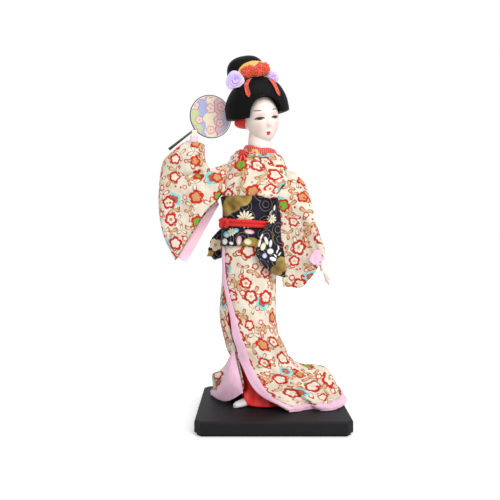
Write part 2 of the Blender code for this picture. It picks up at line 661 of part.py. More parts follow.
def cord_section(angle, j):
    """Two-strand twisted cord with the knot near the doll's right hip."""
    knot = math.exp(-((angle - 214) / 11) ** 2)
    twist = math.radians(angle) * 8
    lobe = 0.84 + 0.16 * abs(math.cos(j - twist))
    return (1.6 + 1.5 * knot) * (1 + lobe * math.cos(j)), (CORD_RADIUS + 1.4 * knot) * lobe * math.sin(j)


def make_obi():
    """Sash, twisted cord, the puff over its edge, the front leaf and the bow behind."""
    def surface(v, u):
        return body_point(360 * u, OBI_HEIGHTS[round(v * (len(OBI_HEIGHTS) - 1))], GAP)
    obi = solid_sheet("obi", surface, len(OBI_HEIGHTS), 40, -OBI_CLOTH, closed=True)
    paint(obi, (0.02, 0.018, 0.06), 0.6)
    face = GAP + OBI_CLOTH + GAP
    cord = ring_tube("obi_cord", lambda angle, out: body_point(angle, CORD_HEIGHT, face + out), cord_section, 56, 5)
    paint(cord, (0.6, 0.02, 0.015), 0.7)
    puff = tube("obi_puff", [body_point(a, OBI_TOP + 3.6, 3.1) for a in (284, 300, 318, 336)], 2.1,
                [0.5, 1, 1, 0.5])
    paint(puff, (0.75, 0.45, 0.3), 0.8)
    leaf = solid_sheet("obi_leaf", leaf_point, 10, 5, OBI_CLOTH, flip=True)
    paint(leaf, (0.02, 0.018, 0.06), 0.6)
    for side, reach in BOW_REACH.items():
        rings = []
        root = np.array((BOW_X + math.copysign(BOW_ROOT, reach[0]), BOW_Y, BOW_HEIGHT))
        tip = np.array((BOW_X, BOW_Y, BOW_HEIGHT)) + np.asarray(reach, float)
        for t in (0, 0.12, 0.3, 0.5, 0.7, 0.87, 1):
            high = 5.5 + 14.5 * math.sin(math.pi * min(t * 0.78, 1)) * (1 - 0.72 * smooth((t - 0.55) / 0.45))
            thick = 2.4 + 2.6 * math.sin(math.pi * t)
            p = root + (tip - root) * t + np.array((0, 3.0 * math.sin(math.pi * t), 0))
            rings.append([p + np.array((0.25 * high * math.sin(a), thick * math.cos(a), high * math.sin(a)))
                          for a in np.linspace(0, 2 * math.pi, 20, endpoint=False)])
        paint(loft("obi_bow_" + side, rings), (0.02, 0.018, 0.06), 0.6)
    knot = loft("obi_bow_knot", [[(BOW_X + 4.2 * s * math.cos(a), BOW_Y + 5.0 * math.sin(a), BOW_HEIGHT + h)
                                  for a in np.linspace(0, 2 * math.pi, 20, endpoint=False)]
                                 for s, h in ((0.7, -9), (1, -6), (0.95, 0), (1, 6), (0.7, 9))])
    paint(knot, (0.02, 0.018, 0.06), 0.6)


def leaf_point(v, u):
    """Broad end of the sash, hanging over the doll's left hip."""
    low = 4.5 * math.sin(math.pi * u) * smooth((v - 0.6) / 0.4)
    a, b = spline(LEAF_LEFT, v), spline(LEAF_RIGHT, v)
    x, z = a + (b - a) * u
    z -= low
    cx, cy, rx, ry = form_at(min(z, 186))
    depth = GAP + OBI_CLOTH + 2 * GAP + 2.4 + OBI_CLOTH
    y = cy - (ry + depth) * math.sqrt(max(0.02, 1 - ((x - cx) / (rx + 13)) ** 2))
    return np.array((x, y, z))


def head_to_world(p):
    """Point in the head's own frame (x to its left, z up) to the doll's frame."""
    return Vector(HEAD_CENTRE) + HEAD_FRAME @ Vector(p)


def face_to_world(p):
    """Point in the face's frame, which is turned from the head's, to the doll's frame."""
    return head_to_world(Matrix.Rotation(math.radians(HEAD_TURN), 3, "Z") @ Vector(p))


def bump(x, z, cx, cz, wx, wz):
    """Bell-shaped bump."""
    return math.exp(-((x - cx) / wx) ** 2 - ((z - cz) / wz) ** 2)


def face_relief(x, z):
    """How far the face stands out from its plain egg shape."""
    relief = 2.7 * bump(x, z, 0, -9.2, 1.7, 1.9) + 1.2 * bump(x, z, 0, -4.6, 1.3, 4.2)
    relief += 1.1 * bump(x, z, 0, -14.6, 2.6, 1.5) + 0.9 * bump(x, z, 0, -19.0, 3.6, 2.2)
    for side in (-1, 1):
        relief += 0.7 * bump(x, z, side * 6.6, -10.5, 3.6, 4.4) - 0.9 * bump(x, z, side * 5.9, -3.2, 3.0, 1.8)
    return relief


def make_head():
    """Head and neck, cast as one piece, with the face modelled by its relief."""
    rings = []
    for k in range(1, 19):
        polar = math.pi * k / 19
        z = HEAD_RADII[2] * math.cos(polar)
        taper = 1 - 0.27 * smooth((-z - 3) / 18)
        ring = []
        for j in range(26):
            a = 2 * math.pi * j / 26
            x = HEAD_RADII[0] * taper * math.sin(polar) * math.cos(a)
            y = HEAD_RADII[1] * math.sin(polar) * math.sin(a) * (1 - 0.12 * smooth((-z - 6) / 12))
            if y < 0:
                y -= face_relief(x, z) * smooth(-y / 6)
            ring.append(face_to_world((x, y, z)))
        rings.append(ring)
    head = loft("head", rings)
    neck_rings = []
    for z, x, y, r in NECK_RINGS:
        neck_rings.append([(x + r * math.cos(k * math.pi / 12), y + r * math.sin(k * math.pi / 12), z)
                           for k in range(24)])
    carve(head, loft("neck_form", neck_rings), "UNION")
    paint(head, (0.83, 0.74, 0.66), 0.35)


def hood_form(name, grow, col=None):
    """Outer form of the swept-up hair: flat underneath, wide at the sides."""
    rings = []
    for z, cx, rx, ry in HOOD_RINGS:
        lift = grow if z > 20 else (-grow if z < 4 else 0)
        rings.append([head_to_world((cx + (rx + grow) * math.cos(a), 0.5 + (ry + grow) * math.sin(a), z + lift))
                      for a in np.linspace(0, 2 * math.pi, 26, endpoint=False)])
    return loft(name, rings, col)


def skull_form(name, grow):
    """Plain egg under the hair, wider than the head by grow."""
    form = primitive(name, "ball", radii=[r + grow for r in HEAD_RADII], segments=26, rings=16)
    form.matrix_world = Matrix.Translation(Vector(HEAD_CENTRE) * MM) @ HEAD_FRAME.to_4x4() @ \
        Matrix.Rotation(math.radians(HEAD_TURN), 4, "Z")
    return form


def ball_at(name, local, radii, grow=0.0, segments=20, rings=10):
    """Ellipsoid set in the head's frame."""
    ball = primitive(name, "ball", radii=[r + grow for r in radii], segments=segments, rings=rings)
    ball.matrix_world = Matrix.Translation(head_to_world(local) * MM) @ HEAD_FRAME.to_4x4()
    return ball


def make_hair():
    """Wig in three pieces: the hood with its face opening, the topknot and the nape roll."""
    hood = hood_form("hair_hood", 0)
    carve(hood, skull_form("hood_hollow", HAIR_GAP))
    window = primitive("face_window", "rod", radius=1, height=40, segments=30)
    window.matrix_world = Matrix.Translation(face_to_world((-0.8, -24, -1)) * MM) @ HEAD_FRAME.to_4x4() @ \
        Matrix.Rotation(math.radians(HEAD_TURN), 4, "Z") @ Matrix.Rotation(math.radians(90), 4, "X") @ \
        Matrix.Diagonal((12.6, 15.4, 1, 1))
    carve(hood, window)
    bun = ball_at("hair_bun", BUN_CENTRE, BUN_RADII)
    carve(bun, hood_form("bun_seat", GAP))
    nape = ball_at("hair_nape", NAPE_CENTRE, NAPE_RADII)
    carve(nape, skull_form("nape_hollow", HAIR_GAP))
    under_hood = primitive("nape_top", "box", size=(90, 90, 40))
    under_hood.matrix_world = Matrix.Translation(head_to_world((0, 0, HOOD_RINGS[0][0] - GAP + 20)) * MM) @ \
        HEAD_FRAME.to_4x4()
    carve(nape, under_hood)
    throat = primitive("nape_neck", "rod", radius=10.6, height=60, segments=32)
    carve(nape, placed(throat, (-9.4, 2.6, 235)))
    front = primitive("nape_front", "box", size=(90, 40, 90))
    front.matrix_world = Matrix.Translation(head_to_world((0, -21.0, 0)) * MM) @ HEAD_FRAME.to_4x4()
    carve(nape, front)
    for piece in (hood, bun, nape):
        paint(piece, (0.008, 0.007, 0.008), 0.45)


def hood_front(x, z, out):
    """Depth just in front of the hood at a place in the head's frame."""
    rows = np.asarray(HOOD_RINGS, float)
    cx, rx, ry = (float(np.interp(z, rows[:, 0], rows[:, k])) for k in (1, 2, 3))
    return 0.5 - (ry + out) * math.sqrt(max(0.05, 1 - ((x - cx) / (rx + out)) ** 2))


def ribbon(name, path, half):
    """Ribbon end lying on the hood, cut to a point."""
    def surface(v, u):
        x, z = spline(path, v)
        wide = half * min(1.0, 6 * (1 - v) + 0.12)
        x += wide * (2 * u - 1)
        return np.array(head_to_world((x, hood_front(x, z, 2.5 * GAP + LINING_CLOTH), z)))
    strip = solid_sheet(name, surface, 9, 3, LINING_CLOTH, flip=True)
    paint(strip, (0.70, 0.07, 0.03), 0.45)


def rose(name, local, radius, seats):
    """Cloth rose: rings of petals round a bud, flattened where it sits on the hair."""
    rings = []
    for k in range(1, 11):
        polar = math.pi * k / 11
        ring = []
        for j in range(20):
            a = 2 * math.pi * j / 20
            petals = 1 + 0.09 * math.cos(5 * a + 7 * polar) * math.sin(polar) - 0.07 * math.cos(15 * polar)
            r = radius * petals
            ring.append(head_to_world((local[0] + r * math.sin(polar) * math.cos(a),
                                       local[1] - 0.62 * r * math.cos(polar),
                                       local[2] + r * math.sin(polar) * math.sin(a))))
        rings.append(ring)
    flower = loft(name, rings)
    for seat in seats:
        carve(flower, seat)
    paint(flower, (0.52, 0.36, 0.80), 0.7)


def comb_form(name, grow):
    """Half-moon comb."""
    comb = primitive(name, "rod", radius=COMB_RADIUS + grow, height=COMB_THICKNESS + 2 * grow, segments=36)
    comb.matrix_world = Matrix.Translation(head_to_world(COMB_CENTRE) * MM) @ HEAD_FRAME.to_4x4() @ \
        Matrix.Rotation(math.radians(90 - 8), 4, "X") @ Matrix.Diagonal((1, 0.82, 1, 1))
    return comb


def bow_form(name, grow):
    """Crinkled hair cloth: two lobes and a knot, joined."""
    lobes = [ball_at("lobe", (-5.6, -12.8, 37.2), (7.2, 3.6, 5.4), grow), ball_at("lobe", (6.0, -12.8, 37.6), (7.0, 3.6, 5.8), grow),
             ball_at("lobe", (0.2, -13.6, 36.0), (4.0, 3.4, 4.6), grow)]
    bpy.context.view_layer.update()
    return rounded_by_remesh(name, lobes, 1.2, 0.25)


def nape_arc_point(angle):
    """Point on the line where the red cloth runs under the nape hair."""
    a = math.radians(angle)
    out = 1.1 + 2.5 * GAP
    return head_to_world((NAPE_CENTRE[0] + 0.83 * (NAPE_RADII[0] + out) * math.cos(a),
                          NAPE_CENTRE[1] + 0.56 * (NAPE_RADII[1] + out),
                          NAPE_CENTRE[2] + 0.83 * (NAPE_RADII[2] + out) * math.sin(a)))


def make_ornaments():
    """Comb, hair cloth, ribbon ends and the two roses."""
    comb = comb_form("comb", 0)
    carve(comb, hood_form("comb_seat", GAP))
    carve(comb, ball_at("comb_back", BUN_CENTRE, BUN_RADII, GAP))
    paint(comb, (0.75, 0.42, 0.03), 0.35)
    bow = bow_form("hair_cloth", 0)
    carve(bow, hood_form("cloth_seat", GAP))
    carve(bow, comb_form("cloth_back", GAP))
    carve(bow, ball_at("cloth_bun", BUN_CENTRE, BUN_RADII, GAP))
    paint(bow, (0.78, 0.06, 0.02), 0.7)
    ribbon("ribbon_right", RIBBON_RIGHT, 2.0)
    ribbon("ribbon_left", RIBBON_LEFT, 1.5)
    for name, local, radius in (("rose_right", (-17.2, -12.0, 30.0), 7.6), ("rose_left", (13.5, -9.5, 29.5), 6.0)):
        seats = [hood_form(name + "_seat", GAP), bow_form(name + "_cloth", GAP),
                 ball_at(name + "_bun", BUN_CENTRE, BUN_RADII, GAP), comb_form(name + "_comb", GAP)]
        rose(name, local, radius, seats)
    arc = tube("nape_cloth", [tuple(nape_arc_point(a)) for a in (183, 210, 240, 270, 300, 330, 357)], 1.1,
               [0.7, 1, 1, 1, 1, 1, 0.7])
    paint(arc, (0.62, 0.02, 0.02), 0.6)


def make_fan():
    """Round fan: a leaf in a thin rim, clasped by a split handle."""
    start, end = Vector(HANDLE_START), Vector(HANDLE_END)
    axis = (end - start).normalized()
    across = Matrix.Rotation(math.radians(FAN_LEAN), 3, axis) @ axis.cross(Vector((0, 1, 0))).normalized()
    normal = across.cross(axis)
    frame = Matrix((across, axis, normal)).transposed()
    centre = end + axis * (FAN_RADIUS + GAP)
    place = Matrix.Translation(centre * MM) @ frame.to_4x4()
    leaf = primitive("fan_leaf", "rod", radius=FAN_RADIUS - 0.9 - GAP, height=FAN_THICKNESS, segments=48)
    leaf.matrix_world = place
    paint(leaf, (0.75, 0.65, 0.75), 0.6)
    verts = []
    for k in range(48):
        a = 2 * math.pi * k / 48
        for j in range(5):
            b = 2 * math.pi * j / 5
            r = FAN_RADIUS - 0.45 + 0.45 * math.cos(b)
            verts.append(centre + frame @ Vector((r * math.cos(a), r * math.sin(a), 0.75 * math.sin(b))))
    faces = [(k * 5 + j, k * 5 + (j + 1) % 5, (k + 1) % 48 * 5 + (j + 1) % 5, (k + 1) % 48 * 5 + j)
             for k in range(48) for j in range(5)]
    paint(add_mesh("fan_rim", verts, faces), (0.03, 0.02, 0.02), 0.4)
    handle = tube("fan_handle", [start, (start + end) / 2, end], HANDLE_WIDTH / 2, [1.1, 0.9, 0.8], 3)
    paint(handle, (0.01, 0.01, 0.01), 0.2)


def main():
    """Build the doll."""
    make_plinth()
    make_core()
    make_feet()
    make_skirt()
    make_under_robe()
    make_facings()
    make_bodice()
    make_sleeves()
    make_hands()
    make_obi()
    make_head()
    make_hair()
    make_ornaments()
    make_fan()


for old in list(bpy.data.objects):
    bpy.data.objects.remove(old)
DOLL = collection("geisha_figurine")
CUTTERS = collection("cutters")
main()
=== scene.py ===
"""Finish of the geisha doll: cloth, print, hair, face, fan and the studio shot."""
import math

import bmesh
import bpy
import numpy as np
from mathutils import Matrix, Vector


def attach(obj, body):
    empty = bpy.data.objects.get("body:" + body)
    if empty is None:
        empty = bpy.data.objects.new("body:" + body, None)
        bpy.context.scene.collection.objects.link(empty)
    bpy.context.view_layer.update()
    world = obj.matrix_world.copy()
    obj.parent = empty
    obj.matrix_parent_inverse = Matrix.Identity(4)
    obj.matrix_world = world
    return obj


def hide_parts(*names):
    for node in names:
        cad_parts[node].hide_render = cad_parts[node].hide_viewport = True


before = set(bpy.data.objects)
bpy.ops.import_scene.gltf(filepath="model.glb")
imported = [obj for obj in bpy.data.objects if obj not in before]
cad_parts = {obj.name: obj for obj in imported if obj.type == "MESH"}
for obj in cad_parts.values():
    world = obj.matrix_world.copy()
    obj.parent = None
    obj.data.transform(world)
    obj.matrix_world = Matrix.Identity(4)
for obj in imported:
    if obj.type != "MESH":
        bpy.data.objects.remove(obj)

bl_info = {
    "name": "Geisha doll finish",
    "version": (1, 0, 0),
    "blender": (4, 5, 0),
    "location": "View3D > Sidebar > Doll",
    "description": "Builds the cloth, hair, face and fan of the doll on its plinth, and the shot",
    "category": "Add Mesh",
}

MM = 0.001
GAP = 0.35

# The robe's outer surface: height, centre x, centre y, half width, half depth
ROBE_FORM = np.array([
    (48, -9.8, 3.0, 27.5, 19.0), (62, -14.7, 1.0, 26.0, 17.5), (75, -19.6, 0.0, 24.5, 17.0),
    (90, -20.8, 0.0, 25.0, 17.0), (115, -19.9, 0.0, 24.4, 16.5), (146, -19.1, 0.0, 23.4, 16.0),
    (165, -18.5, 0.0, 22.3, 15.5), (180, -17.5, 0.0, 23.0, 16.0), (190, -18.0, -0.5, 24.5, 17.0),
    (200, -15.5, 0.0, 26.5, 17.0), (208, -11.0, 1.0, 28.5, 15.5), (214, -11.0, 2.0, 26.5, 14.0),
    (220, -10.6, 3.0, 22.0, 12.5), (226, -9.8, 3.0, 17.0, 11.5)])
SHOULDER_TILT = 0.2
SKIRT_TOP = 151.0
SKIRT_LEVELS = [(SKIRT_TOP, 0.0), (120, 0.4), (90, 1.0), (72, 1.0), (60, 1.0), (48, 1.0)]
# Lines down the skirt: angles at the sash and at the knee, then places at the shin and the hem
SKIRT_RIBS = [
    (188, 234, (-13.2, -22, 27), (13, -29, 13.4)), (225, 256, (0, -25, 27), (22, -25, 13.4)),
    (260, 279, (11, -21, 28), (32, -20, 13.4)), (295, 305, (24, -15, 29), (47, -24, 13.4)),
    (330, 334, (38, -6, 30), (60, -15, 13.4)), (365, 365, (47, 8, 31), (68, 0, 13.6)),
    (400, 398, (50, 24, 32), (67, 20, 14)), (435, 428, (34, 34, 32), (52, 39, 13.4)),
    (470, 462, (10, 37, 28), (20, 46, 13.4)), (510, 500, (-20, 33, 28), (-22, 45, 13.4)),
    (548, 537, (-43, 17, 28), (-53, 27, 13.4)), (585, 563, (-37, 3, 27), (-44, 12, 14)),
    (620, 587, (-24.5, -14, 29), (-30, -9, 21.5))]
WRAP_INSET = 1.35
TRAIN_RISE = 5.0
UNDER_TOP = 140.0
# The under-robe's lower rings: centre x, half width, centre y, half depth, height
UNDER_RINGS = [(-8.5, 21, 1, 15, 44), (-4, 21, 2, 17, 27)]
OBI_BOTTOM, OBI_TOP = 146.8, 189.0
CORD_HEIGHT = 165.5
HEAD_CENTRE = (-8.2, -2.0, 257.0)
HEAD_RADII = (14.3, 15.5, 21.0)
HEAD_TURN, HEAD_ROLL = 17.0, -9.6
HEAD_FRAME = Matrix.Rotation(math.radians(HEAD_ROLL), 3, "Y")
NECK_X, NECK_Y, COLLAR_TILT = -9.6, 3.0, 0.16
# The neck: height, centre x, centre y, radius
NECK_RINGS = [(248, -9.0, 2, 9.8), (238, -10.0, 2.6, 10.1), (228, -10.2, 3, 10.5), (218, -10.2, 3, 10.6),
              (206, -10.2, 3, 10.6)]
# The hair's hood in the head's frame: height, centre x, half width, half depth
HOOD_RINGS = np.array([(3.3, -3, 25.5, 15), (6, -3, 26.8, 17.5), (13, -3, 27, 19.5), (19, -2.6, 25, 20),
                       (25, -2, 21.5, 19), (30, -1.5, 16.5, 15.5), (33.5, -1, 9.5, 9.5), (34.8, -1, 3, 3)])
BUN_CENTRE, BUN_RADII = (-7.0, 7.0, 42.5), (15.3, 11.5, 12.4)
NAPE_CENTRE, NAPE_RADII = (-5.5, 8.5, 0), (20.5, 12.5, 8.5)
RIBBON_RIGHT = [(-5.4, 30.6), (-7.8, 28.0), (-9.4, 24.6), (-9.4, 19.4), (-8.6, 14.8)]
RIBBON_LEFT = [(11.4, 28.6), (13.4, 24.8), (15.2, 18.6), (16.9, 13.0)]
FAN_RADIUS = 19.0
FAN_LEAN = 14.0
HANDLE_START, HANDLE_END = (-88.5, 0.2, 230.2), (-67.4, 6.0, 248.4)
# Each sleeve seen from the front: upper edge, lower edge, start and end
RIGHT_SLEEVE = ([(-58.3, 234.1), (-57.8, 221.0), (-53.0, 212.5), (-46, 214.4), (-39.9, 217.2)],
                [(-76.6, 234.5), (-84.2, 228.1), (-92.6, 219.3), (-96.0, 200), (-96.2, 176.9), (-92.0, 155),
                 (-82.2, 134.9)],
                [(-58.3, 234.1), (-63, 235.3), (-70, 235.2), (-76.6, 234.5)],
                [(-39.9, 217.2), (-41.7, 211), (-43.6, 204), (-44.4, 195), (-46.2, 187), (-55.8, 177.0),
                 (-66.2, 161.7), (-82.2, 134.9)])
LEFT_SLEEVE = ([(17.4, 212.2), (23.0, 205.6), (27.6, 200.4), (32.2, 187), (36.2, 170), (40.2, 156.5), (44.6, 143.2)],
               [(13.0, 112.5), (24.7, 111.6), (31.4, 118.0), (37.5, 126.0)],
               [(17.4, 212.2), (19.2, 206.5), (18.4, 200), (13.4, 193.5), (10.2, 187), (9.4, 172), (9.8, 154),
                (13.2, 139), (12.6, 124), (13.0, 112.5)],
               [(44.6, 143.2), (42.4, 136.5), (39.6, 130.5), (37.5, 126.0)])
# Edges of the lining, the turned-back corner, the sash's leaf and the turned cuffs
RIGHT_LINING_IN = [(-47.6, 4.4, 187), (-59.2, 4.0, 172), (-70.4, 2.8, 154.5), (-81.0, -1.0, 136.6)]
RIGHT_LINING_OUT = [(-45.4, 5.4, 183), (-52.0, 6.4, 172), (-64.0, 5.4, 150), (-74.0, 1.0, 132.6)]
FLAP_CREASE = [(-31.8, -11.7, 59.5), (-29.3, -11.1, 47), (-26.2, -15.2, 35), (-24.4, -16.2, 24.5)]
FLAP_MIDDLE = [(-32.6, -10.9, 58.9), (-35, -11.6, 46), (-37.5, -12.5, 30), (-38.5, -8, 14.8)]
FLAP_FREE = [(-33.3, -10.4, 58.4), (-38.8, -6.5, 47), (-43.2, 1, 32), (-54, 14, 14.2)]
CORNER_EDGE = [(-37.5, 0, 47), (-44.5, 5, 38.5), (-51.7, 7, 34.2), (-51.6, 9, 27), (-51, 11, 20), (-52.5, 14, 13.6)]
LEAF_LEFT = [(2.4, 186.6), (-1.4, 171), (-9.5, 157.5), (-13.6, 146), (-13.4, 139)]
LEAF_RIGHT = [(4.8, 186.6), (7.2, 171), (7.6, 154), (10.6, 138), (11.5, 120.5)]
LEFT_CUFF_IN = [(35.6, 143.6), (32.2, 139), (31.3, 134.4), (34.6, 131.2)]
LEFT_CUFF_OUT = [(41.8, 144.0), (44.0, 139), (43.6, 134.4), (42.6, 131.0)]
RIGHT_CUFF_LOW, RIGHT_CUFF_HIGH = (-70.0, 1.5, 232.0, 6.4, 5.2), (-66.6, 2.3, 241.4, 2.9, 3.1)
EYE_HALF, EYE_LEVEL = 6.8, -3.4
FACE_WINDOW_X, FACE_WINDOW_Z, FACE_WINDOW_WIDE, FACE_WINDOW_HIGH = -0.3, -1, 14.2, 15.4
ROSE_RIGHT, ROSE_RIGHT_RADIUS = (-17.4, -13.0, 31.4), 8.0
ROSE_LEFT, ROSE_LEFT_RADIUS = (13.9, -8.4, 29.8), 5.6

# Lowest places of the cloth over the plinth's top
ROBE_REST, LINING_REST, HEM_REST = 13.2, 13.0, 12.75
PRINT_THICK, LINING_THICK = 0.7, 0.6

# The red lapel painted on the print: place, half sizes and roll. The back of a sleeve starts its print elsewhere
LAPEL_MARK = (-23.8, 226.4, 4.6, 8.0, 16)
SLEEVE_BACK_PRINT = (61.0, 417.0)

# The shot, in metres: camera, and each light's place, aim and size
CAMERA_PLACE, CAMERA_SHIFT = (-0.0185, -0.458, 0.1536), -0.024
KEY_LIGHT = (0.2, -0.75, 0.75), (-0.02, 0, 0.16), 0.5
FILL_LIGHT = (0.6, -0.5, 0.35), (-0.02, 0, 0.14), 0.7
TOP_LIGHT = (0.0, 0.15, 0.9), (0, 0, 0.1), 0.6
TOP_SHARE = 0.4

# Marks on the sash, seen from the front. Clouds: place and half sizes. Flowers: place, radius and petals.
# Petals: place, half sizes, roll and colour
OBI_CLOUDS = [(-25.5, 187.5, 8.5, 7.5), (-33.5, 182, 7.5, 7), (-39, 177.5, 6, 5.5), (-17.5, 149.5, 7, 4.5),
              (-23.5, 147.5, 6, 3.2), (8.0, 131.5, 5.0, 6.5), (3.5, 126, 5, 5)]
OBI_FLOWERS = [(-22.5, 169.0, 7.6, 13), (-0.5, 169.5, 4.0, 9), (-34, 158.5, 3.4, 8)]
AQUA, WHITE, ROSE, LEMON, SKY = (132, 186, 196), (232, 232, 230), (226, 176, 190), (226, 220, 170), (168, 186, 224)
OBI_PETALS = [(-38.2, 156.6, 2.9, 2.5, 10, AQUA), (-30.4, 159.8, 2.6, 2.0, -15, AQUA),
              (-39.8, 150.6, 2.2, 2.5, 0, WHITE), (-27.6, 151.6, 2.0, 3.7, 5, ROSE),
              (-20.2, 150.4, 3.2, 2.3, 15, LEMON), (-19.0, 158.8, 4.0, 1.8, 10, ROSE),
              (-34.2, 149.2, 1.8, 1.2, 20, WHITE), (-7.6, 146.6, 2.0, 3.2, 20, LEMON),
              (-1.6, 142.6, 2.6, 2.2, 0, WHITE), (-6.4, 139.0, 1.9, 2.0, 0, SKY),
              (-10.6, 149.5, 0.9, 3.2, 14, WHITE), (-9.0, 154.8, 0.7, 2.6, 24, WHITE),
              (-5.0, 151.4, 1.3, 3.4, -20, WHITE), (-1.4, 149.0, 1.2, 3.0, 8, WHITE),
              (0.6, 136.2, 2.8, 1.6, 20, WHITE), (4.2, 142.6, 0.6, 1.9, 24, WHITE),
              (6.2, 140.4, 0.6, 1.9, 40, WHITE), (2.6, 138.8, 0.6, 1.8, -40, WHITE),
              (5.2, 145.6, 0.6, 1.8, -10, WHITE), (-1.0, 175.0, 0.8, 2.4, 30, WHITE),
              (1.8, 178.5, 0.7, 2.2, 10, WHITE)]
TAU = 2 * math.pi


def smooth(t):
    """Ease between 0 and 1, for numbers and arrays."""
    t = np.clip(t, 0.0, 1.0)
    return t * t * (3 - 2 * t)


def weights(count, t):
    """Weights of count points for a smooth curve through them at each t in 0..1."""
    t = np.clip(np.atleast_1d(np.asarray(t, float)), 0, 1) * (count - 1)
    i = np.minimum(t.astype(int), count - 2)
    f = t - i
    w = np.zeros((len(t), count + 2))
    rows = np.arange(len(t))
    for k, value in enumerate((-f + 2 * f ** 2 - f ** 3, 2 - 5 * f ** 2 + 3 * f ** 3,
                               f + 4 * f ** 2 - 3 * f ** 3, -f ** 2 + f ** 3)):
        w[rows, i + k] += value / 2
    w[:, 1] += 2 * w[:, 0]
    w[:, 2] -= w[:, 0]
    w[:, count] += 2 * w[:, count + 1]
    w[:, count - 1] -= w[:, count + 1]
    return w[:, 1:count + 1]


def curve(points, t):
    """Points at each t on a smooth curve."""
    return weights(len(points), t) @ np.asarray(points, float)


def patch(grid, rows, cols):
    """Smooth surface through a grid of control points, as rows by cols points."""
    grid = np.asarray(grid, float)
    across = weights(grid.shape[1], np.linspace(0, 1, cols))
    down = weights(grid.shape[0], np.linspace(0, 1, rows))
    return np.einsum("ri,ijk,cj->rck", down, grid, across)


def body_points(angle, z, grow=0.0):
    """Points on the robe's surface at angles in degrees and heights, moved outwards by grow."""
    angle, z, grow = np.broadcast_arrays(np.asarray(angle, float), np.asarray(z, float), np.asarray(grow, float))
    cx, cy, rx, ry = (np.interp(z, ROBE_FORM[:, 0], ROBE_FORM[:, k]) for k in (1, 2, 3, 4))
    a = np.radians(angle)
    x = cx + (rx + grow) * np.cos(a)
    y = cy + (ry + grow) * np.sin(a)
    return np.stack((x, y, z - SHOULDER_TILT * smooth((z - 188) / 30) * (x - cx)), -1)


def noise(u, v, seed=0.0):
    """Smooth uneven field made of a few slanted waves."""
    return (np.sin(1.7 * u + 0.6 * v + seed) * np.cos(0.9 * v - 0.4 * u + 2.1 * seed)
            + 0.5 * np.sin(3.1 * u - 1.9 * v + 1.3 * seed) + 0.3 * np.cos(5.3 * v + 2.2 * u + 0.7 * seed)) / 1.8


def normals_of(points):
    """Unit normals of a grid of points."""
    down = np.gradient(points, axis=0)
    across = np.gradient(points, axis=1)
    n = np.cross(down, across)
    return n / np.maximum(np.linalg.norm(n, axis=-1, keepdims=True), 1e-9)


def lengths(points):
    """Distances along both directions of a grid of points, as UV in millimetres."""
    du = np.linalg.norm(np.diff(points, axis=1), axis=-1).mean(0)
    dv = np.linalg.norm(np.diff(points, axis=0), axis=-1).mean(1)
    u = np.concatenate(([0], np.cumsum(du)))
    v = np.concatenate(([0], np.cumsum(dv)))
    return np.meshgrid(u, -v)


def places(rows, cols, closed=False):
    """Evenly spaced places from 0 to 1, down and across a grid."""
    return np.meshgrid(np.linspace(0, 1, rows), np.linspace(0, 1, cols, endpoint=not closed), indexing="ij")


def between(one, other, v, u):
    """Points from one curve to the other, at places along them and across."""
    a, b = curve(one, v[:, 0])[:, None], curve(other, v[:, 0])[:, None]
    return a + (b - a) * u[..., None]


def loft(rings, rows):
    """Rows of a smooth surface through rings of points."""
    return np.einsum("ri,ijk->rjk", weights(len(rings), np.linspace(0, 1, rows)), np.array(rings))


def linked(name, data):
    """New object in the scene."""
    obj = bpy.data.objects.new(name, data)
    bpy.context.scene.collection.objects.link(obj)
    return obj


def vertices(obj):
    """Places, in millimetres, and normals of an object's vertices."""
    read = []
    for name in ("co", "normal"):
        values = np.empty(len(obj.data.vertices) * 3)
        obj.data.vertices.foreach_get(name, values)
        read.append(values.reshape(-1, 3))
    return read[0] / MM, read[1]


def move_vertices(obj, points):
    """Put an object's vertices at points in millimetres."""
    obj.data.vertices.foreach_set("co", (points * MM).ravel())
    obj.data.update()


def grid_object(name, points, closed=False, flip=False, uv=None):
    """Mesh from a grid of points in millimetres, with a UV map in millimetres."""
    rows, cols = points.shape[:2]
    if uv is None:
        edge = np.concatenate((points, points[:, :1]), 1) if closed else points
        uv = lengths(edge)
    span = cols if closed else cols - 1
    faces = [(r * cols + c, r * cols + (c + 1) % cols, (r + 1) * cols + (c + 1) % cols, (r + 1) * cols + c)
             for r in range(rows - 1) for c in range(span)]
    corners = [((r, c), (r, c + 1), (r + 1, c + 1), (r + 1, c)) for r in range(rows - 1) for c in range(span)]
    if flip:
        faces = [f[::-1] for f in faces]
        corners = [c[::-1] for c in corners]
    mesh = bpy.data.meshes.new(name)
    mesh.from_pydata((points.reshape(-1, 3) * MM).tolist(), [], faces)
    layer = mesh.uv_layers.new(name="UVMap")
    flat = np.array([(uv[0][r, c], uv[1][r, c]) for quad in corners for r, c in quad])
    layer.data.foreach_set("uv", flat.ravel())
    mesh.shade_smooth()
    return linked(name, mesh)


def solid(obj, thickness, offset=-1.0):
    """Give a sheet its thickness and a soft edge, as plain mesh."""
    mod = obj.modifiers.new("Thickness", "SOLIDIFY")
    mod.thickness = thickness * MM
    mod.offset = offset
    return bake(obj)


def bake(obj):
    """Replace an object's mesh with what its modifiers make, and remove them."""
    graph = bpy.context.evaluated_depsgraph_get()
    mesh = bpy.data.meshes.new_from_object(obj.evaluated_get(graph), depsgraph=graph)
    name = obj.name
    if obj.type == "MESH":
        obj.modifiers.clear()
        obj.data = mesh
    else:
        bpy.data.objects.remove(obj)
        obj = linked(name, mesh)
    mesh.name = name
    mesh.shade_smooth()
    return obj


def settle(obj):
    """Move an object's place, turn and scale into its mesh."""
    obj.data.transform(obj.matrix_world)
    obj.matrix_world = Matrix.Identity(4)
    return obj


def dress(obj, material, slot, *nodes):
    """Give a piece its material and hide the CAD nodes that it stands for; the slot is not used."""
    obj.data.materials.clear()
    obj.data.materials.append(material)
    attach(obj, "root")
    if nodes:
        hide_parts(*nodes)
    return obj


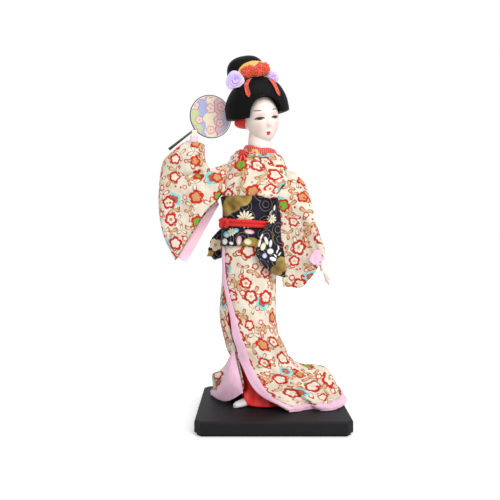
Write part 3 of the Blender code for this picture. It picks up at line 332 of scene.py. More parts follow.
class Graph:
    """Short way to write a shader or geometry node tree."""

    def __init__(self, tree):
        self.tree = tree

    def node(self, kind, inputs=None, **settings):
        """Add a node, set its properties and join or set its inputs."""
        item = self.tree.nodes.new(kind)
        for key, value in settings.items():
            setattr(item, key, value)
        for key, value in (inputs or {}).items():
            if isinstance(value, bpy.types.NodeSocket):
                self.tree.links.new(value, item.inputs[key])
            else:
                item.inputs[key].default_value = value
        return item

    def math(self, operation, *values, clamp=False):
        """Math node."""
        item = self.node("ShaderNodeMath", dict(enumerate(values)), operation=operation, use_clamp=clamp)
        return item.outputs[0]

    def vector(self, operation, *values, output=0):
        """Vector math node."""
        return self.node("ShaderNodeVectorMath", dict(enumerate(values)), operation=operation).outputs[output]

    def mix(self, factor, a, b, blend="MIX"):
        """Colour mix."""
        item = self.node("ShaderNodeMix", data_type="RGBA", blend_type=blend)
        for socket, value in zip((item.inputs[0], item.inputs[6], item.inputs[7]), (factor, a, b)):
            if isinstance(value, bpy.types.NodeSocket):
                self.tree.links.new(value, socket)
            elif isinstance(value, tuple):
                socket.default_value = (*value, 1)
            else:
                socket.default_value = value
        return item.outputs[2]

    def over(self, colour, mask, strength, tone):
        """Colour with a tone laid over it where the mask is, at a strength."""
        return self.mix(self.math("MULTIPLY", mask, strength), colour, tone)

    def step(self, value, edge, soft=0.1):
        """1 where value is below edge, softly."""
        item = self.node("ShaderNodeMapRange", {"Value": value, "From Min": edge, "From Max": edge}, clamp=True)
        low = self.math("SUBTRACT", edge, soft) if isinstance(edge, bpy.types.NodeSocket) else edge - soft
        high = self.math("ADD", edge, soft) if isinstance(edge, bpy.types.NodeSocket) else edge + soft
        for key, bound in (("From Min", low), ("From Max", high)):
            if isinstance(bound, bpy.types.NodeSocket):
                self.tree.links.new(bound, item.inputs[key])
            else:
                item.inputs[key].default_value = bound
        item.inputs["To Min"].default_value = 1
        item.inputs["To Max"].default_value = 0
        return item.outputs[0]


    def feed(self, item, **sockets):
        """Join sockets to a node's named inputs."""
        for key, socket in sockets.items():
            self.tree.links.new(socket, item.inputs[key])

    def base(self, shader, colour):
        """Join a colour to the shader."""
        self.tree.links.new(colour, shader.inputs["Base Color"])

    def field(self, tree, vector, **values):
        """Use a node group on a vector, with its named values; an underscore stands for a space."""
        inputs = {key.replace("_", " "): value for key, value in values.items()}
        return self.node("ShaderNodeGroup", {"Vector": vector, **inputs}, node_tree=tree)

    def place(self):
        """Place on the doll, in millimetres."""
        return self.vector("MULTIPLY", self.node("ShaderNodeTexCoord").outputs["Object"], (1000, 1000, 1000))

    def weave(self, tree, vector, shader, strength, distance, **values):
        """Join a fine weave to the shader's normal."""
        bump(self, shader, self.field(tree, vector, **values).outputs[0], strength, distance)

    def marker(self, tree, place, softness, within=None):
        """Function that adds an ellipse mark in the plane of x and z, and returns its mask."""
        def mark(x, z, wide, high, roll=0.0, soft=softness):
            mask = self.field(tree, place, Place=(x, 0, z), Half_size=(wide, 1, high), Roll=math.radians(roll),
                              Softness=soft).outputs[0]
            return mask if within is None else self.math("MULTIPLY", mask, within)
        return mark


def group(name, inputs, outputs):
    """New shader node group with named sockets; returns it with its graph, input and output nodes."""
    tree = bpy.data.node_groups.new(name, "ShaderNodeTree")
    for label, kind, value in inputs:
        socket = tree.interface.new_socket(label, in_out="INPUT", socket_type="NodeSocket" + kind)
        if value is not None:
            socket.default_value = value
    for label, kind in outputs:
        tree.interface.new_socket(label, in_out="OUTPUT", socket_type="NodeSocket" + kind)
    g = Graph(tree)
    return tree, g, g.node("NodeGroupInput"), g.node("NodeGroupOutput")


def scattered(g, given, randomness):
    """Scattered points: distance and turn from the nearest, in millimetres and radians, and its random values."""
    spacing = given.outputs["Spacing"]
    even = g.node("ShaderNodeCombineXYZ", {0: spacing, 1: spacing, 2: spacing})
    place = g.vector("DIVIDE", given.outputs["Vector"], even.outputs[0])
    cell = g.node("ShaderNodeTexVoronoi", {"Vector": place, "Scale": 1.0, "Randomness": randomness},
                  voronoi_dimensions="2D", feature="F1")
    offset = g.vector("SUBTRACT", place, cell.outputs["Position"])
    parts = g.node("ShaderNodeSeparateXYZ", {0: offset})
    away = g.math("MULTIPLY", g.vector("LENGTH", offset, output="Value"), spacing)
    pick = g.node("ShaderNodeSeparateColor", {0: cell.outputs["Color"]})
    turn = g.math("ADD", g.math("ARCTAN2", parts.outputs[1], parts.outputs[0]),
                  g.math("MULTIPLY", pick.outputs[1], 6.28))
    return away, turn, pick


def blossom_group():
    """Scattered five-petalled blossoms: outline, petals, heart, centre and a value for each flower."""
    tree, g, given, out = group(
        "Blossom field",
        [("Vector", "Vector", None), ("Spacing", "Float", 17.0), ("Radius", "Float", 5.6), ("Line", "Float", 0.5)],
        [("Outline", "Float"), ("Petals", "Float"), ("Heart", "Float"), ("Centre", "Float"), ("Pick", "Float")])
    away, turn, pick = scattered(g, given, 0.55)
    lobes = g.math("ABSOLUTE", g.math("SINE", g.math("MULTIPLY", turn, 2.5)))
    size = g.math("MULTIPLY", given.outputs["Radius"], g.math("ADD", 0.82, g.math("MULTIPLY", pick.outputs[2], 0.3)))
    rim = g.math("MULTIPLY", size, g.math("ADD", 0.66, g.math("MULTIPLY", g.math("POWER", lobes, 0.5), 0.34)))
    gap = g.math("ABSOLUTE", g.math("SUBTRACT", away, rim))
    g.feed(out, Outline=g.step(gap, given.outputs["Line"], 0.12), Petals=g.step(away, rim, 0.1),
           Heart=g.step(away, g.math("MULTIPLY", rim, 0.64), 0.12),
           Centre=g.step(away, g.math("MULTIPLY", size, 0.24), 0.15), Pick=pick.outputs[0])
    return tree


def leaf_group():
    """Scattered three-leafed sprays: outline, body and a value for each spray."""
    tree, g, given, out = group(
        "Leaf field",
        [("Vector", "Vector", None), ("Spacing", "Float", 11.0), ("Length", "Float", 5.0), ("Line", "Float", 0.12)],
        [("Outline", "Float"), ("Body", "Float"), ("Pick", "Float")])
    away, turn, pick = scattered(g, given, 0.8)
    away = g.math("DIVIDE", away, given.outputs["Length"])
    fold = g.math("ABSOLUTE", g.math("SINE", g.math("MULTIPLY", turn, 1.5)))
    rim = g.math("POWER", fold, 3.0)
    gap = g.math("ABSOLUTE", g.math("SUBTRACT", away, rim))
    near = g.step(away, 1.02, 0.05)
    g.feed(out, Outline=g.math("MULTIPLY", g.step(gap, given.outputs["Line"], 0.05), near),
           Body=g.step(away, rim, 0.03), Pick=pick.outputs[0])
    return tree


def mark_group():
    """Soft ellipse on the plane of x and z: place and half sizes in millimetres, turned by a roll."""
    tree, g, given, out = group(
        "Ellipse mark",
        [("Vector", "Vector", None), ("Place", "Vector", (0, 0, 0)), ("Half size", "Vector", (1, 1, 1)),
         ("Roll", "Float", 0.0), ("Softness", "Float", 0.1)], [("Mask", "Float")])
    turn = g.node("ShaderNodeCombineXYZ", {1: given.outputs["Roll"]})
    local = g.node("ShaderNodeMapping", {"Vector": given.outputs["Vector"], "Location": given.outputs["Place"],
                                         "Rotation": turn.outputs[0], "Scale": given.outputs["Half size"]},
                   vector_type="TEXTURE")
    flat = g.vector("MULTIPLY", local.outputs[0], (1, 0, 1))
    far = g.vector("LENGTH", flat, output="Value")
    fade = g.node("ShaderNodeMapRange", {"Value": far, "From Min": g.math("SUBTRACT", 1, given.outputs["Softness"]),
                                         "From Max": g.math("ADD", 1, given.outputs["Softness"]),
                                         "To Min": 1.0, "To Max": 0.0})
    g.tree.links.new(fade.outputs[0], out.inputs["Mask"])
    return tree


def weave_group():
    """Fine over-and-under weave as a height."""
    tree, g, given, out = group("Weave", [("Vector", "Vector", None), ("Thread", "Float", 0.4)], [("Height", "Float")])
    parts = g.node("ShaderNodeSeparateXYZ", {0: given.outputs["Vector"]})
    waves = [g.math("SINE", g.math("DIVIDE", g.math("MULTIPLY", parts.outputs[k], math.pi), given.outputs["Thread"]))
             for k in (0, 1)]
    g.tree.links.new(g.math("MULTIPLY", waves[0], waves[1]), out.inputs["Height"])
    return tree


def finish(name, colour, roughness, metallic=0.0, sheen=0.0, coat=0.0):
    """New material with its shader ready; returns material, graph and shader."""
    mat = bpy.data.materials.new(name)
    mat.use_nodes = True
    g = Graph(mat.node_tree)
    shader = mat.node_tree.nodes["Principled BSDF"]
    shader.inputs["Base Color"].default_value = (*colour, 1)
    shader.inputs["Roughness"].default_value = roughness
    shader.inputs["Metallic"].default_value = metallic
    shader.inputs["Sheen Weight"].default_value = sheen
    shader.inputs["Coat Weight"].default_value = coat
    return mat, g, shader


def bump(g, shader, height, strength, distance):
    """Join a height to the shader's normal."""
    item = g.node("ShaderNodeBump", {"Height": height, "Strength": strength, "Distance": distance * MM})
    g.tree.links.new(item.outputs[0], shader.inputs["Normal"])


def uv_vector(g):
    """The piece's own UV map, in millimetres."""
    return g.node("ShaderNodeUVMap", uv_map="UVMap").outputs[0]


def linear(red, green, blue):
    """Screen colour, 0 to 255, as linear light."""
    return tuple((c / 255 / 12.92 if c <= 10 else ((c / 255 + 0.055) / 1.055) ** 2.4) for c in (red, green, blue))


def print_material(fields):
    """Off-white satin printed with ringed blossoms, pairs of leaves, dots and a few gold lines."""
    mat, g, shader = finish("printed_robe", linear(232, 222, 204), 0.6)
    shader.inputs["Specular IOR Level"].default_value = 0.2
    uv = uv_vector(g)
    red, green = linear(198, 34, 16), linear(104, 176, 56)
    cream, tan = linear(232, 222, 204), linear(204, 150, 98)
    cloud = g.node("ShaderNodeTexNoise", {"Vector": uv, "Scale": 0.05, "Detail": 2.0})
    colour = g.mix(g.step(cloud.outputs["Fac"], 0.46, 0.09), cream, linear(214, 200, 180))
    vine = g.node("ShaderNodeTexWave", {"Vector": uv, "Scale": 0.012, "Distortion": 7.0, "Detail": 1.0,
                                        "Detail Scale": 0.5}, wave_type="BANDS")
    line = g.step(g.math("ABSOLUTE", g.math("SUBTRACT", vine.outputs["Fac"], 0.5)), 0.012, 0.008)
    colour = g.over(colour, line, 0.8, linear(190, 156, 84))
    for shift, spacing, length in (((3.1, 7.7, 0), 14.5, 6.4), ((23.0, 41.0, 0), 17.0, 5.2)):
        leaves = g.field(fields["leaf"], g.vector("ADD", uv, shift), Spacing=spacing, Length=length, Line=0.13)
        tone = g.mix(g.step(leaves.outputs["Pick"], 0.6), cream, linear(212, 172, 128))
        colour = g.mix(leaves.outputs["Body"], colour, tone)
        colour = g.mix(leaves.outputs["Outline"], colour, linear(152, 78, 42))
    for shift, spacing, radius, rare in (((7, 13, 0), 11.5, 2.7, 0.42), ((57, 31, 0), 29.0, 5.8, 0.8),
                                         ((0, 0, 0), 18.0, 5.9, 1.0)):
        flower = g.field(fields["blossom"], g.vector("ADD", uv, shift), Spacing=spacing, Radius=radius, Line=0.3)
        pick = flower.outputs["Pick"]
        if spacing == 29.0:
            blue = g.step(pick, 0.5, 0.001)
            ring = g.mix(blue, linear(226, 208, 170), linear(128, 208, 214))
            fill = g.mix(blue, linear(236, 226, 204), linear(168, 92, 62))
            edge = g.mix(blue, tan, linear(128, 208, 214))
        else:
            ring = g.mix(g.step(g.math("ABSOLUTE", g.math("SUBTRACT", pick, 0.5)), 0.07), red, linear(176, 42, 24))
            fill = g.mix(g.step(pick, 0.86, 0.001), green, g.mix(g.step(pick, 0.7, 0.001), tan, cream))
            edge = linear(150, 40, 24)
        there = g.step(pick, rare, 0.001)
        colour = g.over(colour, there, flower.outputs["Petals"], ring)
        colour = g.over(colour, there, flower.outputs["Heart"], fill)
        if radius > 4:
            colour = g.over(colour, there, g.math("MULTIPLY", flower.outputs["Outline"], 0.4), edge)
            some = g.step(g.math("ABSOLUTE", g.math("SUBTRACT", pick, 0.3)), 0.2)
            colour = g.over(colour, flower.outputs["Centre"], g.math("MULTIPLY", there, some), linear(206, 120, 70))
    dots = g.node("ShaderNodeTexVoronoi", {"Vector": g.vector("ADD", uv, (11, 5, 0)), "Scale": 0.115,
                                           "Randomness": 0.95}, voronoi_dimensions="2D")
    tint = g.node("ShaderNodeSeparateColor", {0: dots.outputs["Color"]})
    spot = g.math("MULTIPLY", g.step(dots.outputs["Distance"], 0.11, 0.015), g.step(tint.outputs[1], 0.7))
    colour = g.mix(spot, colour, g.mix(g.step(tint.outputs[0], 0.8), green, red))
    place = g.place()
    lapel = g.marker(fields["mark"], place, 0.05)(*LAPEL_MARK)
    rays = g.node("ShaderNodeSeparateXYZ", {0: g.vector("SUBTRACT", place, (-24.6, 0, 227.2))})
    rays = g.math("SINE", g.math("MULTIPLY", g.math("ARCTAN2", rays.outputs[2], rays.outputs[0]), 11.0))
    silk = g.mix(g.math("MULTIPLY", g.step(rays, -0.7, 0.3), 0.5), linear(206, 14, 16), linear(244, 196, 184))
    front = g.step(g.node("ShaderNodeSeparateXYZ", {0: place}).outputs[1], -3.0, 0.5)
    colour = g.over(colour, lapel, front, silk)
    g.base(shader, colour)
    g.weave(fields["weave"], uv, shader, 0.12, 0.15)
    return mat


def satin(name, tone, dark, fields, roughness=0.42, sheen=0.4):
    """Plain satin: slightly uneven in colour, with a fine weave."""
    mat, g, shader = finish(name, tone, roughness, sheen=sheen)
    uv = uv_vector(g)
    cloud = g.node("ShaderNodeTexNoise", {"Vector": uv, "Scale": 0.08, "Detail": 3.0})
    g.tree.links.new(g.mix(cloud.outputs["Fac"], tone, dark), shader.inputs["Base Color"])
    g.weave(fields["weave"], uv, shader, 0.15, 0.12)
    return mat


def crepe(name, tone, edge):
    """Crinkled crepe; the colour called edge is a painted highlight laid on its ridges."""
    mat, g, shader = finish(name, tone, 0.6, sheen=0.5)
    place = g.node("ShaderNodeTexCoord").outputs["Object"]
    crinkle = g.node("ShaderNodeTexNoise", {"Vector": place, "Scale": 900.0, "Detail": 4.0, "Roughness": 0.6})
    # Painted highlight: where the crinkle rises, on the ridges, the crepe takes the paler edge colour.
    g.tree.links.new(g.mix(g.step(crinkle.outputs["Fac"], 0.6, 0.1), edge, tone), shader.inputs["Base Color"])
    bump(g, shader, crinkle.outputs["Fac"], 0.9, 0.8)
    return mat


def brocade_material(fields):
    """Navy brocade: a gold cloud, wave arcs, a chrysanthemum and pale petals on the front, more clouds behind."""
    mat, g, shader = finish("obi_brocade", linear(9, 8, 32), 0.55)
    uv = uv_vector(g)
    shader.inputs["Specular IOR Level"].default_value = 0.2
    navy, gold, cream = linear(9, 8, 34), linear(196, 164, 84), linear(238, 228, 200)
    place = g.place()
    depth = g.node("ShaderNodeSeparateXYZ", {0: place}).outputs[1]
    front = g.step(depth, -2.0, 0.5)
    cloud = g.node("ShaderNodeTexNoise", {"Vector": uv, "Scale": 0.05, "Detail": 2.0, "Distortion": 0.6})
    back = g.mix(g.step(cloud.outputs["Fac"], 0.42, 0.01), navy, linear(170, 134, 66))
    rings = g.node("ShaderNodeTexVoronoi", {"Vector": uv, "Scale": 0.075, "Randomness": 0.6}, voronoi_dimensions="2D")
    ripple = g.math("ABSOLUTE", g.math("SINE", g.math("MULTIPLY", rings.outputs["Distance"], 15.0)))
    arcs = g.math("MULTIPLY", g.step(ripple, 0.10, 0.05), g.step(rings.outputs["Distance"], 0.6, 0.02))
    back = g.over(back, arcs, 0.8, linear(206, 184, 120))
    bloom = g.field(fields["blossom"], g.vector("ADD", uv, (3.5, 14, 0)), Spacing=26.0, Radius=6.5, Line=0.3)
    back = g.mix(bloom.outputs["Petals"], back, cream)
    back = g.mix(bloom.outputs["Outline"], back, navy)
    back = g.mix(bloom.outputs["Centre"], back, gold)
    colour = g.over(navy, arcs, 0.8, linear(206, 184, 120))
    mark = g.marker(fields["mark"], place, 0.14)
    shade = g.node("ShaderNodeTexNoise", {"Vector": uv, "Scale": 0.11, "Detail": 1.0})
    leafy = g.mix(g.step(shade.outputs["Fac"], 0.5, 0.25), gold, linear(84, 62, 30))
    for x, z, wide, high in OBI_CLOUDS:
        colour = g.mix(mark(x, z, wide, high, 0, 0.04), colour, leafy)
    for x, z, radius, count in OBI_FLOWERS:
        offset = g.vector("SUBTRACT", place, (x, 0, z))
        parts = g.node("ShaderNodeSeparateXYZ", {0: offset})
        turn = g.math("ARCTAN2", parts.outputs[2], parts.outputs[0])
        away = g.vector("LENGTH", g.vector("MULTIPLY", offset, (1, 0, 1)), output="Value")
        lobe = g.math("ABSOLUTE", g.math("SINE", g.math("MULTIPLY", turn, count / 2)))
        petal = g.step(away, g.math("MULTIPLY", g.math("ADD", g.math("MULTIPLY", lobe, 0.5), 0.5), radius), 0.15)
        slit = g.step(lobe, 0.3, 0.1)
        colour = g.over(colour, petal, g.math("SUBTRACT", 1, slit), cream)
        colour = g.mix(g.step(away, radius * 0.2, 0.15), colour, gold)
    for x, z, wide, high, roll, tone in OBI_PETALS:
        colour = g.mix(mark(x, z, wide, high, roll), colour, linear(*tone))
        colour = g.over(colour, mark(x, z - high * 0.3, wide * 0.55, high * 0.55, roll, 0.5), 0.5,
                        linear(250, 246, 236))
    g.tree.links.new(g.mix(front, back, colour), shader.inputs["Base Color"])
    g.weave(fields["weave"], uv, shader, 0.25, 0.15, Thread=0.35)
    return mat


def red_collar_material(fields):
    """Red silk with gold and white blossoms."""
    mat, g, shader = finish("red_pattern_silk", linear(196, 30, 20), 0.5, sheen=0.3)
    uv = uv_vector(g)
    bloom = g.field(fields["blossom"], uv, Spacing=9.0, Radius=3.4, Line=0.35)
    rays = g.math("SINE", g.math("MULTIPLY", g.node("ShaderNodeSeparateXYZ", {0: uv}).outputs[0], 3.4))
    colour = g.mix(g.math("MULTIPLY", g.step(rays, -0.7, 0.3), 0.45), linear(206, 14, 16), linear(244, 196, 184))
    there = g.step(bloom.outputs["Pick"], 0.3, 0.001)
    colour = g.over(colour, bloom.outputs["Petals"], there, linear(222, 186, 120))
    colour = g.over(colour, bloom.outputs["Centre"], there, linear(198, 28, 20))
    g.base(shader, colour)
    return mat


def hair_material():
    """Combed black silk: fine strands that run back from the brow."""
    mat, g, shader = finish("black_silk_floss", (0.002, 0.002, 0.002), 0.5)
    shader.inputs["Specular IOR Level"].default_value = 0.09
    uv = uv_vector(g)
    strand = g.node("ShaderNodeTexNoise", {"Vector": g.vector("MULTIPLY", uv, (3.2, 0.05, 0)), "Scale": 1.0,
                                           "Detail": 3.0, "Roughness": 0.7})
    bump(g, shader, strand.outputs["Fac"], 0.55, 0.35)
    g.tree.links.new(g.mix(strand.outputs["Fac"], (0.001, 0.001, 0.0012), (0.006, 0.005, 0.005)),
                     shader.inputs["Base Color"])
    return mat


def skin_material(fields):
    """White face paint with painted eyes, brows and lips, and painted shade at the nostrils and where the lips meet.
    """
    mat, g, shader = finish("face_paint", linear(246, 232, 222), 0.38, coat=0.1)
    shader.inputs["Subsurface Weight"].default_value = 0.06
    shader.inputs["Subsurface Radius"].default_value = (0.004, 0.002, 0.001)
    place = g.node("ShaderNodeTexCoord").outputs["Object"]
    turn = (HEAD_FRAME @ Matrix.Rotation(math.radians(HEAD_TURN), 3, "Z")).to_euler()
    local = g.node("ShaderNodeMapping", {"Vector": place, "Location": tuple(Vector(HEAD_CENTRE) * MM),
                                         "Rotation": tuple(turn), "Scale": (MM, MM, MM)}, vector_type="TEXTURE")
    face = local.outputs[0]
    front = g.step(g.node("ShaderNodeSeparateXYZ", {0: face}).outputs[1], -4.0, 0.5)
    mark = g.marker(fields["mark"], face, 0.12, front)
    colour = linear(246, 233, 224)
    black, white, rose = linear(26, 18, 16), linear(236, 230, 226), linear(214, 120, 108)
    for side in (-1, 1):
        x = side * EYE_HALF
        colour = g.over(colour, mark(side * 7.6, -9.5, 4.4, 3.4, 0, 0.9), 0.22, rose)
        colour = g.over(colour, mark(x, -1.4, 4.2, 1.9, side * 6, 0.7), 0.42, rose)
        colour = g.mix(mark(x, EYE_LEVEL - 0.1, 3.7, 1.12, -side * 6), colour, black)
        colour = g.mix(mark(x, EYE_LEVEL - 0.45, 2.7, 0.38, -side * 6), colour, white)
        colour = g.mix(mark(x - side * 0.1, EYE_LEVEL - 0.1, 2.1, 1.2), colour, linear(10, 6, 5))
        lid = g.math("MULTIPLY", mark(x, EYE_LEVEL - 0.1, 3.8, 1.45, -side * 6),
                     g.math("SUBTRACT", 1, mark(x, EYE_LEVEL - 1.1, 4.4, 1.35, -side * 6)))
        colour = g.mix(lid, colour, black)
        colour = g.over(colour, mark(side * 7.4, 3.2, 3.1, 0.55, -side * 14, 0.35), 0.85, linear(74, 54, 48))
        # Painted shade: faint darker dots under the nose where the nostrils are.
        colour = g.over(colour, mark(side * 0.9, -11.5, 0.4, 0.25, 0, 0.6), 0.3, linear(170, 110, 98))
    lips = g.math("MAXIMUM", mark(-0.75, -15.15, 1.15, 0.75, 12), mark(0.75, -15.15, 1.15, 0.75, -12))
    lips = g.math("MAXIMUM", lips, mark(0, -16.2, 1.45, 0.95))
    colour = g.mix(lips, colour, linear(214, 36, 34))
    # Painted shade: a darker line in the groove where the lips meet.
    colour = g.over(colour, mark(0, -15.6, 1.6, 0.14), 0.5, linear(150, 20, 22))
    g.base(shader, colour)
    return mat


def fan_material(fields, place):
    """Pastel paper: hills in wavy bands of lilac, pink, cream, blue and green, with small blossoms."""
    mat, g, shader = finish("fan_paper", linear(226, 214, 214), 0.6)
    coords = g.node("ShaderNodeTexCoord").outputs["Object"]
    local = g.node("ShaderNodeMapping", {"Vector": coords, "Location": tuple(place.to_translation()),
                                         "Rotation": tuple(place.to_euler()), "Scale": (MM, MM, MM)},
                   vector_type="TEXTURE").outputs[0]
    parts = g.node("ShaderNodeSeparateXYZ", {0: local})
    height = g.math("ADD", g.math("MULTIPLY", parts.outputs[0], -0.65), g.math("MULTIPLY", parts.outputs[1], 0.75))
    swell = g.node("ShaderNodeTexNoise", {"Vector": local, "Scale": 0.09, "Detail": 1.5})
    level = g.math("ADD", height, g.math("MULTIPLY", g.math("SUBTRACT", swell.outputs["Fac"], 0.5), 22.0))
    colour = g.mix(g.step(level, 9.0, 0.3), linear(206, 206, 232), linear(232, 188, 196))
    colour = g.mix(g.step(level, 3.0, 0.3), colour, linear(236, 222, 190))
    colour = g.mix(g.step(level, -4.0, 0.3), colour, linear(168, 176, 214))
    colour = g.mix(g.step(level, -10.0, 0.3), colour, linear(196, 206, 150))
    edge = g.step(g.math("ABSOLUTE", g.math("SUBTRACT", level, 3.0)), 0.35, 0.2)
    colour = g.mix(edge, colour, linear(146, 108, 140))
    bloom = g.field(fields["blossom"], local, Spacing=12.0, Radius=3.8, Line=0.3)
    colour = g.over(colour, bloom.outputs["Petals"], 0.85, linear(238, 206, 206))
    colour = g.mix(bloom.outputs["Outline"], colour, linear(196, 112, 130))
    colour = g.mix(bloom.outputs["Centre"], colour, linear(214, 176, 80))
    g.base(shader, colour)
    return mat


def all_materials():
    """Every material of the doll, by name."""
    fields = {"blossom": blossom_group(), "leaf": leaf_group(), "mark": mark_group(), "weave": weave_group()}
    made = {
        "print": print_material(fields),
        "pink": satin("pink_satin", linear(244, 200, 222), linear(232, 180, 206), fields),
        # Painted light: the lining is a lighter copy of the pink satin, to offset the shade it lies in under the
        # sleeve.
        "lining": satin("lining_satin_painted_light", linear(255, 214, 228), linear(250, 198, 216), fields),
        "red": satin("red_silk", linear(240, 22, 14), linear(212, 12, 9), fields, 0.5, 0.1),
        "sock": satin("white_cotton", linear(236, 234, 230), linear(222, 220, 216), fields, 0.8, 0.1),
        "brocade": brocade_material(fields),
        "red_pattern": red_collar_material(fields),
        "lilac": satin("lilac_satin", linear(232, 216, 252), linear(208, 184, 240), fields, 0.5, 0.3),
        "cord": satin("red_cord", linear(232, 34, 22), linear(200, 14, 10), fields, 0.6, 0.1),
        # The crepe's second colour is the painted highlight on its ridges.
        "crepe": crepe("orange_crepe", linear(214, 34, 12), linear(240, 140, 40)),
        "hair": hair_material(),
        "skin": skin_material(fields),
    }
    made["comb"] = finish("comb_gold", linear(232, 176, 40), 0.35, coat=0.3)[0]
    made["lacquer"] = finish("black_lacquer", linear(15, 14, 19), 0.6)[0]
    made["lacquer"].node_tree.nodes["Principled BSDF"].inputs["Specular IOR Level"].default_value = 0.25
    made["gloss"] = finish("gloss_black", linear(14, 12, 12), 0.15, coat=0.5)[0]
    made["steel"] = finish("steel", (0.5, 0.5, 0.5), 0.3, 1.0)[0]
    made["cotton"] = satin("plain_cotton", linear(228, 222, 208), linear(214, 206, 190), fields, 0.9, 0.1)
    made["fields"] = fields
    return made


def skirt_grid(rows, cols):
    """The robe below the sash, from sash to hem and from the outer edge round to the inner one."""
    last = len(SKIRT_RIBS) - 1
    grid = []
    for z, ease in SKIRT_LEVELS:
        angles = [top + (low - top) * ease for top, low, shin, hem in SKIRT_RIBS]
        inset = [WRAP_INSET * smooth((k / last * 12 - 8.5) / 2.5) for k in range(last + 1)]
        grid.append(body_points(angles, z, -np.array(inset)))
    grid.append(np.array([shin for top, low, shin, hem in SKIRT_RIBS], float))
    grid.append(np.array([hem for top, low, shin, hem in SKIRT_RIBS], float))
    return patch(grid, rows, cols)


def skirt_folds(v, u, depth):
    """How far the folds of the skirt and train stand out, in millimetres."""
    low = smooth((v - 0.5) / 0.38)
    train = smooth((u - 0.1) / 0.1) * smooth((0.95 - u) / 0.15)
    spread = u + 0.012 * np.sin(9 * v + 14 * u)
    folds = np.sin(TAU * 10.5 * spread) * 0.75 + 0.35 * np.sin(TAU * 19 * spread + 1.0 + 2 * v)
    edge = smooth((1.0 - v) / 0.015) * 0.35 + 0.65
    drag = 0.22 * noise(u * 38, v * 16, 1.0) + 0.14 * np.sin(TAU * (3.2 * v + 5 * u)) * smooth(v / 0.1)
    return depth * (folds * low * train * edge * 1.5 + drag)


def settle_on(points, level):
    """Keep points above a level."""
    points[..., 2] = np.maximum(points[..., 2], level)
    return points


def cloth_piece(name, points, thickness, material, slot, nodes, closed=False, flip=True, uv=None):
    """Cloth from a grid: mesh, thickness and material."""
    obj = solid(grid_object(name, points, closed, flip, uv), thickness)
    dress(obj, material, slot, *nodes)
    return obj


def trim(name, points, thickness, material, slot, *nodes, closed=False, flip=False):
    """Narrow cloth from a grid: mesh, thickness and material."""
    return dress(solid(grid_object(name, points, closed, flip), thickness), material, slot, *nodes)


